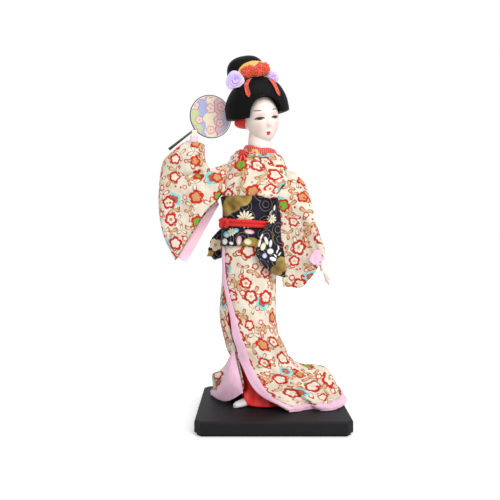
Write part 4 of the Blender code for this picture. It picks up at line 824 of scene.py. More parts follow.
def make_robe(look, depth):
    """Printed skirt with its train, pink facings, turned-back corner and red under-robe."""
    rows, cols = 130, 260
    v, u = places(rows, cols)
    plain = skirt_grid(rows, cols)
    out = normals_of(plain)
    folds = skirt_folds(v, u, depth)[..., None]
    calm = (smooth((v - 0.02) / 0.1))[..., None]
    robe = plain + out * folds * calm
    x, y, z = robe[..., 0], robe[..., 1], robe[..., 2]
    swell = np.exp(-((x - 50) / 15) ** 2 - ((z - 31) / 11) ** 2 - ((y - 8) / 24) ** 2)
    dent = np.exp(-((x - 27) / 6) ** 2 - ((z - 40) / 9) ** 2)
    robe[..., 2] += TRAIN_RISE * swell - 1.6 * dent
    robe[..., 0] -= 0.2 * np.maximum(0, x - 48)
    robe = settle_on(robe, ROBE_REST)
    out = normals_of(robe)
    cloth_piece("skirt", robe, PRINT_THICK, look["print"], "print_cloth", ["skirt"])

    def lifted(vs, us, rise):
        """Surface over the folded robe at given places."""
        r, c = np.clip(vs, 0, 1) * (rows - 1), np.clip(us, 0, 1) * (cols - 1)
        r0, c0 = np.minimum(r.astype(int), rows - 2), np.minimum(c.astype(int), cols - 2)
        fr, fc = (r - r0)[..., None], (c - c0)[..., None]
        up = robe + out * rise
        return (up[r0, c0] * (1 - fr) * (1 - fc) + up[r0 + 1, c0] * fr * (1 - fc)
                + up[r0, c0 + 1] * (1 - fr) * fc + up[r0 + 1, c0 + 1] * fr * fc)

    vs, us = np.meshgrid(np.linspace(0.02, 0.999, 220), np.linspace(0, 1, 24), indexing="ij")
    wide = 0.033 + 0.045 * smooth((vs - 0.12) / 0.42) - 0.019 * smooth((vs - 0.62) / 0.3)
    roll = 0.5 * np.sin(math.pi * us) ** 0.6 + 0.12 * noise(us * 4, vs * 30, 3.0)
    front = lifted(vs, 0.001 + wide * us, 0.95)
    front += normals_of(front) * roll[..., None]
    cloth_piece("front_edge_facing", front, LINING_THICK, look["pink"], "pink_lining", ["front_edge_facing"])
    vs, us = np.meshgrid(np.linspace(0.968, 1.0, 10), np.linspace(0.002, 0.93, 310), indexing="ij")
    hem = lifted(vs, us, 0.95)
    roll = 0.5 * np.sin(math.pi * (vs - 0.968) / 0.032) - 0.7 * smooth((0.06 - us) / 0.02)
    hem += normals_of(hem) * roll[..., None]
    under = lifted(vs[-3:] * 0 + 1.0, us[-3:], 0.6)
    under[..., 2] -= np.array((0.5, 0.9, 0.9))[:, None]
    hem = settle_on(np.concatenate((hem, under)), HEM_REST)
    trim("hem_facing", hem, LINING_THICK, look["pink"], "pink_lining", "hem_facing", flip=True)

    grid = np.stack([curve(line, np.linspace(0, 1, 60)) for line in (FLAP_CREASE, FLAP_MIDDLE, FLAP_FREE)], 1)
    across = weights(3, np.linspace(0, 1, 40))
    flap = np.einsum("rik,ci->rck", grid, across)
    v, u = places(60, 40)
    wave = 0.9 * np.sin(TAU * (1.3 * u + 0.25 * v)) * smooth((v - 0.3) / 0.5) + 0.25 * noise(u * 9, v * 5, 2)
    flap = settle_on(flap - normals_of(flap) * (wave * depth * smooth(u / 0.15))[..., None], LINING_REST)
    cloth_piece("corner_flap", flap, LINING_THICK, look["pink"], "pink_lining", ["corner_flap"], flip=False)

    reach, along = np.linspace(0, 1, 16)[None, :, None], np.linspace(0, 1, 42)
    inner = flap[18:, -8][:, None] + np.array((0, 1.6, 0))
    edge = inner * (1 - reach) + curve(CORNER_EDGE, along)[:, None] * reach
    edge[..., 1] -= 2.2 * np.sin(math.pi * reach[..., 0]) * np.sin(math.pi * along)[:, None]
    edge = settle_on(edge, ROBE_REST)
    trim("corner_print", edge, LINING_THICK, look["print"], "print_cloth")


    v, u = places(90, 150, True)
    angle = 360 * u[0]
    a = np.radians(angle)
    stations = [body_points(angle, z, -3.0) for z in (UNDER_TOP, 110, 80, 62)]
    for cx, rx, cy, ry, z in UNDER_RINGS:
        stations.append(np.stack((cx + rx * np.cos(a), cy + ry * np.sin(a), np.full_like(a, z)), -1))
    over_foot = 8.8 * np.exp(-((angle - 213) / 13) ** 2)
    spread = 1 + 0.13 * np.exp(-((angle - 252) / 26) ** 2) + 0.21 * np.exp(-((angle - 225) / 14) ** 2)
    stations.append(np.stack((-1.5 + 23.5 * spread * np.cos(a), 3 + 20 * spread * np.sin(a), 13.4 + over_foot), -1))
    under = loft(stations, 90)
    wave = 0.8 * np.sin(TAU * 14 * u + 2 * np.sin(6 * v)) * smooth((v - 0.55) / 0.3)
    under = settle_on(under + normals_of(under) * (wave * depth)[..., None], LINING_REST)
    cloth_piece("under_robe", under, LINING_THICK, look["red"], "red_silk", ["under_robe"], closed=True)


def make_bodice(look, depth):
    """Printed upper robe with its wrapped front, and the two collars."""
    rows, cols = 80, 200
    v, u = places(rows, cols, True)
    angle, z = 360 * u, 222 - (222 - SKIRT_TOP - GAP) * v
    top = body_points(angle, z)
    wave = 0.3 * noise(u * 22, v * 9, 4.0) + 0.35 * np.sin(TAU * (2.0 * v + 6 * u)) * smooth((0.5 - v) / 0.2)
    wrap = smooth((angle - (236 + 12 * smooth((v - 0.1) / 0.4))) / 3) * smooth((300 - angle) / 30)
    top = top + normals_of(top) * ((wave * depth * 0.7 + 1.3 * wrap) * smooth((0.47 - v) / 0.1))[..., None]
    cloth_piece("bodice", top, PRINT_THICK, look["print"], "print_cloth", ["bodice"], closed=True)
    rows = 24
    angle = 360 * np.linspace(0, 1, cols, endpoint=False)
    low, mid = body_points(angle, 216.5, 1.15), body_points(angle, 221.0, 1.15)
    dip = 3.4 * np.exp(-((angle - 252) / 38) ** 2)
    top_edge = neck_ring(angle, 17.4, 14.6, 227.4)
    top_edge[:, 2] -= dip
    top_edge[:, 1] -= 0.35 * dip
    collar = loft([top_edge, mid, low], rows)
    v = np.linspace(0, 1, rows)[:, None]
    seam = 0.45 * np.exp(-((v - 0.45) / 0.05) ** 2) + 1.9 * smooth((v - 0.75) / 0.25)
    collar = collar + normals_of(collar) * (0.7 + 0.6 * np.sin(math.pi * np.minimum(v * 2.2, 1)) - seam)[..., None]
    cloth_piece("collar", collar, PRINT_THICK, look["print"], "print_cloth", ["collar"], closed=True)
    low, top = neck_ring(angle, 16.4, 14.0, 222.6), neck_ring(angle, 12.8, 11.8, 231.4)
    top[:, 2] -= 1.6 * np.exp(-((angle - 268) / 24) ** 2)
    red = loft([top, (low + top) / 2 + np.array((0, 0, 0.3)), low], rows)
    red = red + normals_of(red) * (0.6 + 0.3 * np.sin(math.pi * v))[..., None]
    cloth_piece("red_collar", red, LINING_THICK, look["red_pattern"], "red_silk", ["red_collar"],
                closed=True)


def neck_ring(angle, radius_x, radius_y, z):
    """Tilted ring round the neck."""
    a = np.radians(angle)
    x = NECK_X + radius_x * np.cos(a)
    return np.stack((x, NECK_Y + radius_y * np.sin(a), z - COLLAR_TILT * (x - NECK_X)), -1)


def sleeve_grid(edges, depth, rows, cols):
    """Sleeve as rows along it and cols round it, with the place across and along for each point."""
    upper, lower, start, end = (np.asarray(e, float) for e in edges)
    t = np.linspace(0, 1, rows)[:, None]
    turn = np.linspace(0, TAU, cols, endpoint=False)[None, :]
    c = 0.5 - 0.5 * np.cos(turn)
    u, d = curve(upper, t[:, 0])[:, None], curve(lower, t[:, 0])[:, None]
    a, b = curve(start, c[0])[None], curve(end, c[0])[None]
    t3, c3 = t[..., None], c[..., None]
    corners = (1 - c3) * ((1 - t3) * upper[0] + t3 * upper[-1]) + c3 * ((1 - t3) * lower[0] + t3 * lower[-1])
    flat = (1 - c3) * u + c3 * d + (1 - t3) * a + t3 * b - corners
    t, c, turn = np.broadcast_arrays(t, c, turn)
    middle, half = depth(c, t)
    swell = np.sin(turn)
    y = middle - half * np.sign(swell) * np.abs(swell) ** 0.6
    return np.stack((flat[..., 0], y, flat[..., 1]), -1), c, t, turn


def depth_right(c, t):
    """Depth of the raised sleeve's middle, and half its thickness."""
    return 0.5 - 2.0 * c * t, 6.3 + 1.8 * np.sin(math.pi * np.minimum(t * 1.2, 1)) * (1 - 0.45 * c)


def depth_left(c, t):
    """Depth of the lowered sleeve's middle, and half its thickness."""
    return -1.0 - 4.2 * smooth(t), 7.0 + 0.6 * np.sin(math.pi * t) - 2.2 * c


def make_sleeves(look, depth):
    """Two long printed sleeves with soft folds, pink linings and cuffs."""
    for side, edges, shape in (("right", RIGHT_SLEEVE, depth_right), ("left", LEFT_SLEEVE, depth_left)):
        points, c, t, turn = sleeve_grid(edges, shape, 120, 180)
        front = np.sin(turn)
        if side == "right":
            hang = np.sin(TAU * (2.6 * c - 0.9 * t) + 0.8) * smooth(c / 0.3) * smooth((1.1 - c) / 0.4)
            crease = -1.6 * np.exp(-(((t - 0.55) / 0.2) ** 2 + ((c - 0.22) / 0.05) ** 2))
            swing = -1.2 * np.exp(-(((t - 0.5 - 0.3 * c) / 0.06) ** 2)) * smooth((c - 0.1) / 0.3)
            points[..., 0] += 6.0 * (smooth((t - 0.93) / 0.07) * smooth((0.55 - c) / 0.15))
        else:
            hang = np.sin(TAU * (2.2 * c + 0.5 * t) + 2.4) * smooth(c / 0.25) * smooth((1.1 - c) / 0.4)
            crease = -1.2 * np.exp(-(((t - 0.45) / 0.3) ** 2 + ((c - 0.35 - 0.3 * t) / 0.05) ** 2))
            swing = -0.9 * np.exp(-(((c - 0.62) / 0.05) ** 2)) * smooth(t / 0.3)
            points[..., 0] -= 6.5 * (smooth((0.08 - t) / 0.08) * smooth((0.7 - c) / 0.2))
            points[..., 0] -= 3.2 * smooth((0.2 - t) / 0.2) * smooth((c - 0.35) / 0.15)
        push = (1.0 * hang + crease + swing + 0.45 * noise(c * 9, t * 8, 5.0)) * depth
        if side == "right":
            x, z = points[..., 0], points[..., 2]
            above = z - 210.6 - 0.2 * (x + 53.7)
            fold = 1.5 * np.exp(-((above - 4.5) / 3) ** 2) - 2.6 * np.exp(-(above / 1.5) ** 2)
            push = push + fold * smooth((x + 86) / 16) * smooth((-50 - x) / 5) * depth
        points[..., 1] -= push * front
        middle, half = shape(c, t)
        across = curve(edges[0], t[:, 0]) - curve(edges[1], t[:, 0])
        across /= np.linalg.norm(across, axis=1, keepdims=True)
        rim = np.maximum(0, half - np.abs(points[..., 1] - middle)) * np.sign(0.5 - c)
        place = np.stack([points[..., k] + rim * across[:, None, j] for j, k in enumerate((0, 2))], -1)
        place = np.where((turn > 3.15)[..., None], SLEEVE_BACK_PRINT - place, place)
        uv = [np.concatenate((place[..., j], place[:, :1, j]), 1) for j in (0, 1)]
        obj = cloth_piece(side + "_sleeve", points, PRINT_THICK, look["print"], "print_cloth", [side + "_sleeve"],
                          closed=True, uv=uv)
        obj.data.validate()
    rows, cols = 80, 16
    v, u = places(rows, cols)
    lining = between(RIGHT_LINING_IN, RIGHT_LINING_OUT, v, u)
    lining[..., 1] += 0.7 * np.sin(TAU * (2.2 * v + 0.3 * u)) * depth
    # The lining wears the lighter copy of the pink satin, which is painted light.
    cloth_piece("right_sleeve_lining", lining, LINING_THICK, look["lining"], "pink_lining",
                ["right_sleeve_lining"])
    for side in ("right", "left"):
        soft_copy(side + "_cuff", look["pink"], "pink_lining", 0.35)
    v, u = places(40, 30)
    flat = between(LEFT_CUFF_IN, LEFT_CUFF_OUT, v, u)
    y = -6.2 - 7.8 * np.sqrt(np.maximum(0.0, 1 - u ** 3)) - 0.35 * np.sin(TAU * 2.5 * u) * depth
    trim("left_cuff_turned", np.stack((flat[..., 0], y, flat[..., 1]), -1), LINING_THICK, look["pink"],
         "pink_lining", flip=True)
    t, a = np.meshgrid(np.linspace(0, 1, 30), np.linspace(0, TAU, 60, endpoint=False), indexing="ij")
    low, high = np.array(RIGHT_CUFF_LOW), np.array(RIGHT_CUFF_HIGH)
    x, y, z, rx, ry = np.moveaxis(low + (high - low) * t[..., None], -1, 0)
    wave = 1 + 0.05 * np.sin(9 * a) * (1 - t) * depth
    wrist = np.stack((x + rx * wave * np.cos(a), y + ry * wave * np.sin(a), z + 0.25 * rx * np.cos(a)), -1)
    # The turned cuff wears the same lighter copy of the pink satin, which is painted light.
    trim("right_cuff_turned", wrist, 0.5, look["lining"], "pink_lining", closed=True)


def soft_copy(node, material, slot, crease=0.3, voxel=None, pleat=None):
    """Finer, creased version of a plain soft node, which it replaces."""
    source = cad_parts[node]
    obj = linked(node + "_cloth", source.data.copy())
    obj.matrix_world = source.matrix_world
    settle(obj)
    if voxel:
        mesher = obj.modifiers.new("Even faces", "REMESH")
        mesher.mode = "VOXEL"
        mesher.voxel_size = voxel * MM
        rounder = obj.modifiers.new("Round", "SMOOTH")
        rounder.iterations = 4
    else:
        finer = obj.modifiers.new("Finer", "SUBSURF")
        finer.levels = finer.render_levels = 2
        finer.subdivision_type = "SIMPLE"
    bake(obj)
    p, n = vertices(obj)
    push = noise(p[:, 0] * 0.35, p[:, 2] * 0.3 + p[:, 1] * 0.2, 2.0) * crease
    if pleat:
        push += 0.35 * np.sin(p[:, 0] * pleat[0] + p[:, 2] * pleat[1] + 0.6 * np.sin(0.2 * p[:, 0]))
    move_vertices(obj, p + n * push[:, None])
    obj.data.shade_smooth()
    if not obj.data.uv_layers:
        layer = obj.data.uv_layers.new(name="UVMap")
        index = np.empty(len(obj.data.loops), int)
        obj.data.loops.foreach_get("vertex_index", index)
        layer.data.foreach_set("uv", p[index][:, [0, 2]].ravel())
    dress(obj, material, slot, node)
    return obj


def make_obi(look, depth):
    """Sash, its front leaf and the bow behind, in brocade, with the printed puff over its edge."""
    rows, cols = 60, 200
    v, u = places(rows, cols, True)
    band = body_points(360 * u, OBI_TOP + (OBI_BOTTOM - OBI_TOP) * v, GAP)
    wave = 0.35 * np.sin(TAU * (2.6 * v + 1.5 * u)) + 0.3 * noise(u * 16, v * 7, 1.5)
    cinch = -0.9 * np.exp(-(((1 - v) * 42.2 + OBI_BOTTOM - CORD_HEIGHT) / 3.0) ** 2)
    out = 1.45 + (wave * depth + cinch * 0.4) * smooth(v / 0.06) * smooth((1 - v) / 0.06) * 0.5
    cloth_piece("obi", band + normals_of(band) * out[..., None], 1.1, look["brocade"], "obi_brocade", ["obi"],
                closed=True)
    rows, cols = 90, 60
    v, u = places(rows, cols)
    flat = between(LEAF_LEFT, LEAF_RIGHT, v, u)
    x, z = flat[..., 0], flat[..., 1] - 4.5 * np.sin(math.pi * u) * smooth((v - 0.6) / 0.4)
    cx, cy, rx, ry = (np.interp(np.minimum(z, 186), ROBE_FORM[:, 0], ROBE_FORM[:, k]) for k in (1, 2, 3, 4))
    fold = 0.8 * np.sin(TAU * (1.1 * u + 0.15)) * smooth(v / 0.3) + 0.3 * noise(u * 5, v * 7, 0.5)
    y = cy - (ry + 6.6 + fold * depth) * np.sqrt(np.maximum(0.02, 1 - ((x - cx) / (rx + 13)) ** 2))
    cloth_piece("obi_leaf", np.stack((x, y, z), -1), 1.3, look["brocade"], "obi_brocade", ["obi_leaf"])
    for node, pleat in (("obi_bow_left", (-0.55, 1.15)), ("obi_bow_right", (0.55, 1.15)), ("obi_bow_knot", (1.6, 0))):
        soft_copy(node, look["brocade"], "obi_brocade", 0.5 * depth, voxel=0.7, pleat=pleat)
    rows, cols = 40, 60
    t, turn = np.meshgrid(np.linspace(0, 1, rows), np.linspace(0, TAU, cols, endpoint=False), indexing="ij")
    swell = np.sin(math.pi * (0.04 + 0.92 * t)) ** 0.6 * (1 + 0.06 * np.sin(9 * t * TAU / 2))
    line = body_points(282 + 46 * t, 190.6 - 1.5 * t, 2.6)
    out = line - body_points(282 + 46 * t, 190.6 - 1.5 * t, 0)
    out /= np.linalg.norm(out, axis=-1, keepdims=True)
    puff = line + out * (2.2 * swell * np.cos(turn))[..., None]
    puff[..., 2] += 3.0 * swell * np.sin(turn) + 0.3 * depth * noise(t * 14, turn * 2, 1)
    puff = capped("obi_puff_cloth", puff)
    dress(puff, look["print"], "orange_cloth", "obi_puff")


def cord_tree(material):
    """Geometry nodes: strands twisted round a path."""
    tree = bpy.data.node_groups.new("Twisted cord", "GeometryNodeTree")
    tree.interface.new_socket("Geometry", in_out="OUTPUT", socket_type="NodeSocketGeometry")
    sockets = {}
    for label, kind, value in (("Geometry", "Geometry", None), ("Strands", "Int", 2), ("Turns", "Float", 20.0),
                               ("Strand radius", "Float", 0.0015), ("Lay radius", "Float", 0.0013),
                               ("Steps", "Int", 900)):
        socket = tree.interface.new_socket(label, in_out="INPUT", socket_type="NodeSocket" + kind)
        if value is not None:
            socket.default_value = value
        sockets[label] = socket.identifier
    g = Graph(tree)
    given, out = g.node("NodeGroupInput"), g.node("NodeGroupOutput")
    path = g.node("GeometryNodeMeshToCurve", {"Mesh": given.outputs["Geometry"]})
    even = g.node("GeometryNodeResampleCurve", {"Curve": path.outputs[0], "Count": given.outputs["Steps"]})
    upright = g.node("GeometryNodeSetCurveNormal", {"Curve": even.outputs[0]}, mode="Z_UP")
    many = g.node("GeometryNodeDuplicateElements",
                  {"Geometry": upright.outputs[0], "Amount": given.outputs["Strands"]}, domain="SPLINE")
    part = g.math("DIVIDE", many.outputs["Duplicate Index"], given.outputs["Strands"])
    along = g.node("GeometryNodeSplineParameter").outputs["Factor"]
    angle = g.math("MULTIPLY", g.math("ADD", g.math("MULTIPLY", along, given.outputs["Turns"]), part), TAU)
    normal = g.node("GeometryNodeInputNormal").outputs[0]
    side = g.vector("CROSS_PRODUCT", g.node("GeometryNodeInputTangent").outputs[0], normal)
    wide = g.node("ShaderNodeVectorMath", {0: normal, "Scale": g.math("COSINE", angle)}, operation="SCALE")
    high = g.node("ShaderNodeVectorMath", {0: side, "Scale": g.math("SINE", angle)}, operation="SCALE")
    shift = g.node("ShaderNodeVectorMath", {0: g.vector("ADD", wide.outputs[0], high.outputs[0]),
                                            "Scale": given.outputs["Lay radius"]}, operation="SCALE")
    laid = g.node("GeometryNodeSetPosition", {"Geometry": many.outputs[0], "Offset": shift.outputs[0]})
    ring = g.node("GeometryNodeCurvePrimitiveCircle", {"Resolution": 8, "Radius": given.outputs["Strand radius"]},
                  mode="RADIUS")
    skin = g.node("GeometryNodeCurveToMesh", {"Curve": laid.outputs[0], "Profile Curve": ring.outputs[0]})
    real = g.node("GeometryNodeRealizeInstances", {"Geometry": skin.outputs[0]})
    done = g.node("GeometryNodeSetMaterial", {"Geometry": real.outputs[0], "Material": material})
    tree.links.new(done.outputs[0], out.inputs[0])
    return tree, sockets


def cord_along(name, tree, sockets, points, closed, **values):
    """Mesh of a twisted cord along points in millimetres."""
    mesh = bpy.data.meshes.new(name)
    count = len(points)
    edges = [(i, i + 1) for i in range(count - 1)] + ([(count - 1, 0)] if closed else [])
    mesh.from_pydata((np.asarray(points) * MM).tolist(), edges, [])
    obj = linked(name, mesh)
    mod = obj.modifiers.new("Cord", "NODES")
    mod.node_group = tree
    for label, value in values.items():
        mod[sockets[label.replace("_", " ")]] = value
    return bake(obj)


def make_cord(look, strand):
    """Red cord round the sash, knotted at the doll's right."""
    tree, sockets = cord_tree(look["cord"])
    angle = np.linspace(0, 360, 240, endpoint=False)
    parts = []
    for k, rise in enumerate((1.5, -1.5)):
        path = body_points(angle, CORD_HEIGHT + rise, 3.3 + 0.25 * np.sin(np.radians(5 * angle + 90 * k)))
        path[:, 2] -= 0.07 * (path[:, 0] + 18)
        parts.append(cord_along("obi_cord_strands", tree, sockets, path, True, Strands=3, Turns=22.0,
                                Strand_radius=0.55 * strand * MM, Lay_radius=0.8 * MM, Steps=960))
    t = np.linspace(0, TAU, 90, endpoint=False)
    loops = [(216 + 9 * np.sin(t), CORD_HEIGHT + 0.8 + 2.9 * np.sin(2 * t), 5.4 + 0.9 * np.cos(t)),
             (222 + 6.0 * np.cos(t), CORD_HEIGHT + 0.6 + 2.6 * np.sin(t), 5.2 + 0.8 * np.sin(t + 1)),
             (205 + 5.0 * np.cos(t), CORD_HEIGHT + 0.9 + 3.0 * np.sin(t), 4.6 + 0.8 * np.sin(t + 2))]
    for k, (a, z, out) in enumerate(loops):
        parts.append(cord_along(f"cord_knot_{k}", tree, sockets, body_points(a, z, out), True, Strands=3,
                                Turns=7.0, Strand_radius=0.5 * strand * MM, Lay_radius=0.72 * MM, Steps=200))
    cord = parts[0]
    join(parts)
    dress(cord, look["cord"], "red_cord", "obi_cord")


def join(parts):
    """Join pieces into the first."""
    merged = bmesh.new()
    for part in parts:
        merged.from_mesh(part.data)
    for part in parts[1:]:
        bpy.data.objects.remove(part)
    merged.to_mesh(parts[0].data)
    merged.free()
    parts[0].data.shade_smooth()
    return parts[0]


def to_world(local, turned=False):
    """Points in the head's frame, or the face's where turned, to the doll's frame, in millimetres."""
    turn = HEAD_FRAME @ Matrix.Rotation(math.radians(HEAD_TURN), 3, "Z") if turned else HEAD_FRAME
    return np.asarray(local, float) @ np.array(turn).T + np.array(HEAD_CENTRE)


def face_relief(x, z):
    """How far the face stands out from its egg shape."""
    def bell(cx, cz, wx, wz):
        return np.exp(-((x - cx) / wx) ** 2 - ((z - cz) / wz) ** 2)
    relief = 2.2 * bell(0, -9.2, 1.5, 1.7) + 1.2 * bell(0, -4.6, 1.2, 4.0) + 0.9 * bell(0, -19.0, 3.4, 2.2)
    relief += 0.75 * bell(0, -14.5, 1.9, 0.75) + 0.8 * bell(0, -16.4, 1.7, 0.9) - 0.5 * bell(0, -15.5, 2.2, 0.35)
    relief -= 0.35 * bell(0, -12.2, 0.6, 1.2)
    for side in (-1, 1):
        relief += 0.7 * bell(side * 6.6, -10.5, 3.6, 4.4) + 0.7 * bell(side * 1.5, -10.0, 0.8, 0.9)
        relief += 0.35 * bell(side * EYE_HALF, EYE_LEVEL, 2.7, 0.9) - 0.8 * bell(side * 5.9, -2.6, 3.0, 2.0)
        relief += 0.3 * bell(side * 7.0, 2.6, 3.4, 1.0)
    return relief


def make_head(look, relief):
    """Head and neck with the modelled face."""
    rows, cols = 170, 210
    polar, turn = np.meshgrid(np.linspace(0.02, math.pi - 0.02, rows), np.linspace(0, TAU, cols, endpoint=False),
                              indexing="ij")
    z = HEAD_RADII[2] * np.cos(polar)
    x = HEAD_RADII[0] * (1 - 0.11 * smooth((-z - 6) / 16)) * np.sin(polar) * np.cos(turn)
    y = HEAD_RADII[1] * np.sin(polar) * np.sin(turn) * (1 - 0.12 * smooth((-z - 6) / 12))
    y = np.where(y < 0, y - relief * face_relief(x, z) * smooth(-y / 6), y)
    head = grid_object("doll_head", to_world(np.stack((x, y, z), -1), True), closed=True, flip=True)
    line = curve(NECK_RINGS, np.linspace(0, 1, 40))
    a = np.linspace(0, TAU, 72, endpoint=False)
    neck = np.stack([np.stack((x + r * np.cos(a), y + 0.92 * r * np.sin(a), np.full_like(a, z)), -1)
                     for z, x, y, r in line])
    ears = [egg("ear", (13.2 * side, 3.6, -4.6), (1.6, 2.4, 3.8), rows=24, cols=36, turned=True) for side in (-1, 1)]
    join([head, grid_object("neck", neck, closed=True, flip=True), *ears])
    dress(head, look["skin"], "skin", "head")


def egg(name, centre, radii, power=2.0, rows=60, cols=90, turned=False):
    """Closed rounded form in the head's frame; a power over 2 makes it boxier."""
    polar, turn = np.meshgrid(np.linspace(0.03, math.pi - 0.03, rows), np.linspace(0, TAU, cols, endpoint=False),
                              indexing="ij")

    def bend(value):
        return np.sign(value) * np.abs(value) ** (2 / power)
    local = np.stack((radii[0] * bend(np.sin(polar)) * bend(np.cos(turn)) + centre[0],
                      radii[1] * bend(np.sin(polar)) * bend(np.sin(turn)) + centre[1],
                      radii[2] * bend(np.cos(polar)) + centre[2]), -1)
    return capped(name, to_world(local, turned))


def capped(name, points):
    """Closed solid from rings of points, with flat ends."""
    obj = grid_object(name, points, closed=True, flip=True)
    merged = bmesh.new()
    merged.from_mesh(obj.data)
    bmesh.ops.holes_fill(merged, edges=[e for e in merged.edges if e.is_boundary], sides=0)
    bmesh.ops.recalc_face_normals(merged, faces=merged.faces)
    merged.to_mesh(obj.data)
    merged.free()
    return obj


def cut(obj, *tools):
    """Take other forms away from a piece."""
    for tool in tools:
        mod = obj.modifiers.new("Cut", "BOOLEAN")
        mod.object, mod.solver = tool, "EXACT"
        bake(obj)
        bpy.data.objects.remove(tool)
    obj.data.shade_smooth()
    obj.data.set_sharp_from_angle(angle=math.radians(38))
    return obj


def make_hair(look, strand):
    """Combed hood with its face opening, topknot, and the nape roll under red cloth."""
    rings = HOOD_RINGS.copy()
    rings[:2, 2] += (1.9, 0.7)
    line = weights(len(rings), np.linspace(0, 1, 90)) @ rings
    a = np.linspace(0, TAU, 160, endpoint=False)
    comb = 1 + 0.006 * strand * np.sin(46 * a) * np.sin(np.linspace(0, math.pi, 90))[:, None]
    local = np.stack((line[:, 1:2] + line[:, 2:3] * np.cos(a) * comb, 0.5 + line[:, 3:4] * np.sin(a) * comb,
                      np.repeat(line[:, :1], 160, 1)), -1)
    local[..., 2] -= 4.6 * smooth((local[:1, :, 2] + 10 - local[..., 2]) / 10) * smooth((-local[..., 1] - 2) / 12)
    hood = capped("hair_hood_combed", to_world(local[::-1]))
    skull = egg("skull", (0, 0, 0), [r + GAP for r in HEAD_RADII], turned=True)
    t = np.linspace(0, TAU, 96, endpoint=False)
    tube = np.stack([np.stack((FACE_WINDOW_X + FACE_WINDOW_WIDE * np.cos(t), np.full_like(t, y),
                               FACE_WINDOW_Z + FACE_WINDOW_HIGH * np.sin(t)), -1)
                     for y in (-44, -4)])
    cut(hood, skull, capped("window", to_world(tube, True)))
    dress(hood, look["hair"], "hair", "hair_hood")
    bun = egg("hair_bun_combed", np.array(BUN_CENTRE) + (0.2, 0, 0.5), np.array(BUN_RADII) + (1.2, 0.4, 1.2), 2.4)
    dress(bun, look["hair"], "hair", "hair_bun")
    nape = egg("hair_nape_cloth", np.array(NAPE_CENTRE) + (-1.6, 2.2, 1.2),
               np.array(NAPE_RADII) - (3.4, 1.5, 2.2), 2.2)
    dress(nape, look["red"], "red_silk", "hair_nape")


def hood_front(x, z, out):
    """Depth just in front of the hood at places in the head's frame."""
    cx, rx, ry = (np.interp(z, HOOD_RINGS[:, 0], HOOD_RINGS[:, k]) for k in (1, 2, 3))
    return 0.5 - (ry + out) * np.sqrt(np.maximum(0.05, 1 - ((x - cx) / (rx + out)) ** 2))


def ribbon(name, path, half, look):
    """Ribbon end lying on the hood, with turned edges."""
    rows, cols = 70, 12
    v, u = places(rows, cols)
    line = curve(path, v[:, 0])
    wide = half * np.minimum(1.0, 5 * (1 - v) + 0.25) * (1 + 0.12 * np.sin(7 * v))
    x, z = line[:, :1] + wide * (2 * u - 1), np.repeat(line[:, 1:], cols, 1) + 0.5 * (2 * u - 1)
    out = 1.1 + 0.35 * np.cos(TAU * u) + 0.25 * np.sin(12 * v + 2 * u)
    points = to_world(np.stack((x, hood_front(x, z, out), z), -1))
    trim(name + "_silk", points, 0.4, look["crepe"], "orange_cloth", name, flip=True)


def rose(name, local, radius, look):
    """Rose wound from a satin strip: a tight bud with lips that open outwards."""
    turns = np.linspace(0, 1, 260)[None, :]
    lip = np.linspace(0, 1, 16)[:, None]
    angle = TAU * 3.6 * turns + 0.5
    flare = smooth((lip - 0.45) / 0.55) * (0.10 + 0.34 * turns) * (1 + 0.16 * np.sin(5 * angle * 0.62 + 1))
    reach = radius * (0.10 + 0.52 * turns ** 0.8 + flare)
    rise = radius * (0.9 * lip ** 0.7 * (1.0 - 0.42 * turns) - 0.25 - 0.22 * smooth((lip - 0.7) / 0.3) * turns)
    points = np.stack((local[0] + reach * np.cos(angle), local[1] - rise, local[2] + reach * np.sin(angle)), -1)
    obj = solid(grid_object(name + "_petals", to_world(points)), 0.35)
    ball = egg("core", (local[0], local[1] + 0.16 * radius, local[2]), (radius * 0.62, radius * 0.42, radius * 0.62),
               rows=24, cols=36)
    join([obj, ball])
    dress(obj, look["lilac"], "lilac_cloth", name)


def make_ornaments(look, crease):
    """Crinkled hair cloth with its knot, ribbons, roses and the red cloth's edge under the nape."""
    cloth = soft_copy("hair_cloth", look["crepe"], "orange_cloth", 0.5 * crease, voxel=0.35)
    p, n = vertices(cloth)
    local = (p - np.array(HEAD_CENTRE)) @ np.array(HEAD_FRAME)
    around = np.arctan2(local[:, 2] - 33.5, local[:, 0] - 0.3)
    pleats = (0.26 * np.sin(19 * around + 1.6 * np.sin(0.9 * local[:, 0]))
              + 0.5 * noise(local[:, 0] * 1.3, local[:, 2] * 1.5, 1))
    knot = 1.2 * np.exp(-((local[:, 0] - 0.5) / 2.4) ** 2 - ((local[:, 2] - 34.4) / 2.6) ** 2)
    move_vertices(cloth, p + n * (pleats * crease + knot)[:, None])
    ribbon("ribbon_right", RIBBON_RIGHT, 1.9, look)
    ribbon("ribbon_left", RIBBON_LEFT, 1.5, look)
    rose("rose_right", ROSE_RIGHT, ROSE_RIGHT_RADIUS, look)
    rose("rose_left", ROSE_LEFT, ROSE_LEFT_RADIUS, look)
    turn, t = np.meshgrid(np.linspace(0, TAU, 16, endpoint=False), np.radians(np.linspace(183, 357, 90)))
    swell = 1.0 * np.sin(math.pi * np.linspace(0.06, 0.94, 90))[:, None] ** 0.5
    reach = 0.97 + swell * np.cos(turn) / 14
    edge = np.stack((NAPE_CENTRE[0] - 1.6 + (NAPE_RADII[0] - 3.4) * reach * np.cos(t),
                     NAPE_CENTRE[1] + 3.4 + 1.6 * swell * np.sin(turn),
                     NAPE_CENTRE[2] + 1.2 + (NAPE_RADII[2] - 2.2) * reach * np.sin(t)), -1)
    band = capped("nape_cloth_edge", to_world(edge))
    dress(band, look["red"], "red_silk", "nape_cloth")


